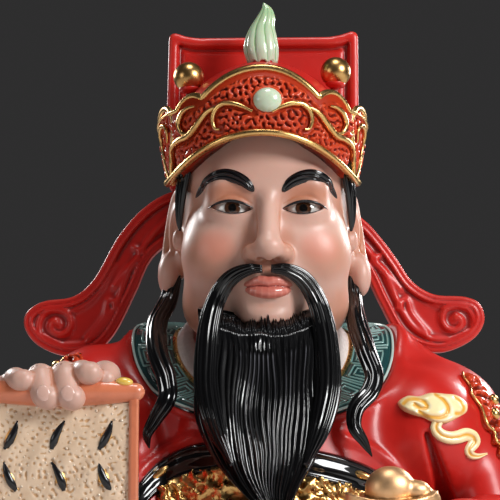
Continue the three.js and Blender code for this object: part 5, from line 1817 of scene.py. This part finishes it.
def makeScroll():
    plan = scrollPlan
    half, front, top = plan["width"] / 2, plan["front"], plan["top"]
    sink = front + plan["relief"]
    xs, zs = np.linspace(-1, 1, 124), np.linspace(0, 1, 108)
    x = plan["middle"] + xs[None, :] * (half - plan["frame"] + 0.4)
    z = mix(0, top - 0.4, zs)[:, None]
    x, z = np.broadcast_arrays(x, z)
    places = np.stack([x, z], -1)
    pocks = 0.5 * worms(places, plan["pocks"][0], 71) + worms(places, plan["pocks"][1], 72)
    dent = smooth((pocks - 0.8) / 0.9)
    y = sink + 0.35 * dent + 0.12 * worms(places, plan["swell"], 73)
    rear = np.stack([x, np.full_like(x, sink + 2.4), z], -1)[:, ::-41]
    addPiece("scroll_panel", backed(np.stack([x, y, z], -1), rear, dent, axis=1), "cream")

    def frameForm(p):
        a, y, c = np.abs(p[..., 0] - plan["middle"]), p[..., 1], p[..., 2]
        border = np.minimum(half - a, top + 3 - c)
        whole = np.maximum(-border, np.maximum(front - y, y - front - plan["thick"]))
        pocket = np.maximum(plan["frame"] - border, y - sink - 0.8)
        return -softMin(0.7, -whole, pocket)

    frameSkin = skin(frameForm, (plan["middle"] - half - 1, front - 1, 0),
                     (plan["middle"] + half + 1, front + plan["thick"] + 1, top + 2), 0.8, flatFoot=True)
    addPiece("scroll_frame", frameSkin, "salmon")
    y, z = rodPlace
    reach = half + plan["overhang"]
    path = np.linspace((plan["middle"] - reach, y, z), (plan["middle"] + reach, y, z), 80)
    full = profile([(0, 0.2), (0.012, 0.62), (0.035, 0.9), (0.07, 1), (0.93, 1), (0.965, 0.9), (0.988, 0.62),
                    (1, 0.2)])
    addPiece("scroll_rod", strand(path, 56, roundSection(lambda v: plan["rod"] * full(v))), "salmon")
    knob = np.array([plan["middle"], y, z]) + plan["knob"]
    addStuds("rod_knob", [knob], [(0.1, -0.4, 1)], [(1, 0, 0)], (2.4, 1.5, 1.2), "yellow")
    threads, edges = [], []
    left, right = plan["middle"] - half + plan["frame"], plan["middle"] + half - plan["frame"]
    for row, height in enumerate(plan["rows"]):
        for i in range(plan["inRow"]):
            middle = mix(left, right, (i + 0.5) / plan["inRow"])
            slant = -plan["slant"] if row % 2 else plan["slant"]
            t = np.linspace(-1, 1, 30)
            bow = 0.5 * (1 - t**2) * (-1) ** (row + i)
            x, z = middle + t * slant + bow, height + t * plan["half"]
            line = np.column_stack([x, np.full(30, sink - 0.1), z])
            swell = mix(*plan["strokeGirth"], smooth((t + 1) / 2))
            threads.append((line + (0, 0.35, 0), swell * tapered(30, 0.4), False))
            edges.append((line + (0, 1.45, 0), (swell + plan["goldRim"]) * tapered(30, 0.5), False))
    addCords("scroll_strokes", threads, 1.0, "black", 14, "scroll_glaze")
    addCords("stroke_gold", edges, 1.0, "gold", 14, "scroll_glaze")
    bed = bpy.data.meshes.new("scroll_pebbles")
    edge = half - plan["frame"] - 0.6
    bedEnds = (-1, 0.8), (1, 0.8), (1, top - 1.4), (-1, top - 1.4)
    bedCorners = [(plan["middle"] + a * edge, sink + 0.1, z) for a, z in bedEnds]
    bed.from_pydata([tuple(value / metre for value in corner) for corner in bedCorners], [], [(0, 1, 2, 3)])
    sizes = {"Spacing": plan["pebbleGap"] / metre, "Crumb": plan["pebble"] / metre, "Flatness": 0.5,
             "Seed": 4, "Finish": finishes["cream"]}
    pebbles = grow("scroll_pebbles", bed, crumbTree, sizes)
    creaseMark(pebbles.data)
    finishPiece(pebbles, "scroll_glaze")


# each finger: how far along the rod, how high its knuckle and its tip lie over the rod, its size
fingerPlan = {"diameter": 7.8, "lean": 2.4,
              "fingers": [(-11.6, 0.9, 0.5, 0.86), (-5.0, 1.1, -4.0, 1.0), (1.5, 1.7, -4.1, 1.02),
                          (6.3, 2.8, 2.4, 0.9)],
              "thumb": [(4.1, 16, -9), (9.7, 12, -1), (12.0, 7, 2.0), (12.6, 1.5, 1.0)]}


def makeHand():
    plan = fingerPlan
    middle, front = scrollPlan["middle"], scrollPlan["front"]
    rodTop = rodPlace[1] + scrollPlan["rod"]
    forms, nails, wrinkles = [], [], []
    for along, knuckle, tip, size in plan["fingers"]:
        r = plan["diameter"] / 2 * size
        x, lean, high, foot = middle + along, plan["lean"], rodTop + knuckle, rodTop + tip
        long = tip < -1                       # the two long fingers reach down over the rod
        joints = [(x - 1, front + 16, high - r * 0.8 - 8), (x - 0.5, front + 11, high - r * 0.4),
                  (x, front + 2, high), (x + lean * 0.6, front - r * 0.4, mix(high, foot, 0.9)),
                  (x + lean, front - r * 0.42, foot)]
        path = smoothPath(joints, 26)
        v = np.linspace(0, 1, 26)
        knuckles = 0.22 * np.exp(-(((v - 0.42) / 0.07) ** 2)) + 0.16 * np.exp(-(((v - 0.7) / 0.06) ** 2))
        forms.append(chain(path, r * 0.96 + knuckles - 0.25 * smooth((v - 0.75) / 0.25)))
        if long:
            for share in (0.60, 0.68):
                i = int(share * 25)
                spot = path[i] + unit(np.array([0, -1.0, 0.9])) * r * 1.02
                ends = spot - (r * 0.7, -0.5, 0.2), spot + (r * 0.7, 0.5, -0.2)
                wrinkles.append(limb(ends[0], 0.28, ends[1], 0.28))
            end, before = path[-2], path[-7]
            nails.append((end + (0, -r * 0.80, 0.4), before - end))
    thumb = smoothPath([(middle + a, front + b, rodTop + c) for a, b, c in plan["thumb"]], 20)
    taper = profile([(0, 1), (0.85, 0.98), (1, 0.7)])(np.linspace(0, 1, 20))
    forms.append(chain(thumb, plan["diameter"] / 2 * taper))
    edge = (middle - 15.6, front + 4, rodTop - 1.4), (middle - 13, front + 14, rodTop - 8)
    forms.append(limb(edge[0], 3.4, edge[1], 5))
    palm = ellipsoid((middle - 1.4, front + 17, scrollPlan["top"] - 5.5), (15, 8, 13))
    handForm = melt(1.1, melt(4, palm, limb((-59, -58, 26), 9, (-60, -52, 24), 9)), *forms)
    handForm = hollow(0.5, handForm, melt(0.3, *wrinkles))
    addSkin("gripping_hand", handForm, "skin")
    places, turned = zip(*nails)
    addStuds("finger_nails", places, [(0, -1, 0.15)] * len(nails), turned, (2.2, 1.9, 0.5), "nail")


ingotPlan = {"middle": (31.5, -73), "rise": 13, "length": 25}


def makeIngot():
    plan = ingotPlan
    (x0, y0), rise, half = plan["middle"], plan["rise"], plan["length"] / 2
    low, high = (x0 - half - 1, y0 - 10, rise - 13), (x0 + half + 1, y0 + 10, rise + 10)
    dome = ellipsoid((x0 - 0.2, y0, rise + 1), (6.8, 5.8, 6.2))

    def boat(p):
        along = np.clip((p[..., 0] - x0) / half, -1.2, 1.2)
        girth = 1.2 + 6.4 * np.sqrt(np.clip(1 - along**2, 0, 1))
        middle = rise - 3.4 + 2.4 * along**2
        under = np.where(p[..., 2] > middle, 0, (p[..., 2] - middle) / (4.5 + girth * 0.4))
        hull = np.hypot((p[..., 1] - y0) / girth, under) - 1
        below = hull * np.minimum(girth, 5)
        return np.maximum(np.maximum(below, p[..., 2] - middle - 1.4), (np.abs(p[..., 0] - x0) - half))

    tip = ellipsoid((x0 + 6.6, y0 - 0.6, rise + 0.6), (4.2, 3.6, 2.9))
    lobe = ellipsoid((x0 + 10, y0, rise - 2.2), (3.6, 3.8, 3.2))
    ingot = melt(1.0, lambda p: boat(p) * 0.8, dome, tip, lobe)
    addPiece("gold_ingot", skin(ingot, low, high, 0.55), "paleGold")
    palm, wrist = ellipsoid((x0, y0 + 7, 2), (14, 15, 7)), limb((x0 - 0.5, y0 + 11, 0), 9, (50, -52, -4), 11)
    addSkin("low_hand", melt(4, palm, wrist), "skin")


print("placing scroll, hands and ingot")
makeScroll()
makeHand()
makeIngot()
print("pieces:", len(triangleCount), "triangles:", sum(triangleCount.values()),
      "largest:", max(triangleCount, key=triangleCount.get), max(triangleCount.values()))


# Stage, lights and camera

stagePlan = {"floor": 1.6, "world": (rgb(0.62, 0.61, 0.62), 0.045), "cameraAim": (-4.7, 0, 88),
             "distance": 520, "azimuth": -1.5, "elevation": -7, "lens": 117, "lampAim": (0, 0, 0.09)}
# place, size and power of each light, all in metres and watts
lamps = {"key": ((0.42, -0.40, 0.34), 0.20, 3.5), "fill": ((-0.52, -0.38, 0.20), 0.20, 0.36),
         "rimLeft": ((-0.34, 0.34, 0.30), 0.12, 1.3), "rimRight": ((0.36, 0.32, 0.26), 0.12, 1.3),
         "top": ((0.02, -0.14, 0.60), 0.16, 1.0)}


def aimed(piece, target):
    piece.rotation_euler = (Vector(target) - piece.location).to_track_quat("-Z", "Y").to_euler()


def setStage():
    turn = np.arange(96) / 96 * fullTurn
    disc = [(stagePlan["floor"] * math.cos(t), stagePlan["floor"] * math.sin(t), 0) for t in turn]
    mesh = bpy.data.meshes.new("floor")
    mesh.from_pydata(disc, [], [tuple(range(96))])
    glaze = Glaze("floor_paint")
    grain = glaze.noise(60, 3)
    tone = glaze.blend(grain, rgb(0.66, 0.65, 0.64), rgb(0.70, 0.69, 0.68))
    mesh.materials.append(glaze.done(tone, 0.7 + grain * 0.1))
    floor = bpy.data.objects.new("floor", mesh)
    bpy.context.scene.collection.objects.link(floor)


def setLights():
    for name, (place, size, power) in lamps.items():
        lamp = bpy.data.lights.new(name, "AREA")
        lamp.size, lamp.energy = size, power
        lampObject = bpy.data.objects.new(name, lamp)
        lampObject.location = place
        bpy.context.scene.collection.objects.link(lampObject)
        aimed(lampObject, stagePlan["lampAim"])
    world = bpy.data.worlds.new("studio")
    world.use_nodes = True
    sky = world.node_tree.nodes["Background"]
    sky.inputs["Color"].default_value, sky.inputs["Strength"].default_value = stagePlan["world"]
    bpy.context.scene.world = world
    bpy.context.scene.view_settings.view_transform = "Standard"


def setCamera():
    azimuth, elevation = math.radians(stagePlan["azimuth"]), math.radians(stagePlan["elevation"])
    aim = np.array(stagePlan["cameraAim"]) / metre
    way = np.array([math.sin(azimuth) * math.cos(elevation), -math.cos(azimuth) * math.cos(elevation),
                    math.sin(elevation)])
    camera = bpy.data.objects.new("camera", bpy.data.cameras.new("camera"))
    camera.location = aim + way * stagePlan["distance"] / metre
    camera.data.lens = stagePlan["lens"]
    camera.data.clip_start = 0.01
    bpy.context.scene.collection.objects.link(camera)
    aimed(camera, aim)
    bpy.context.scene.camera = camera


setStage()
setLights()
setCamera()
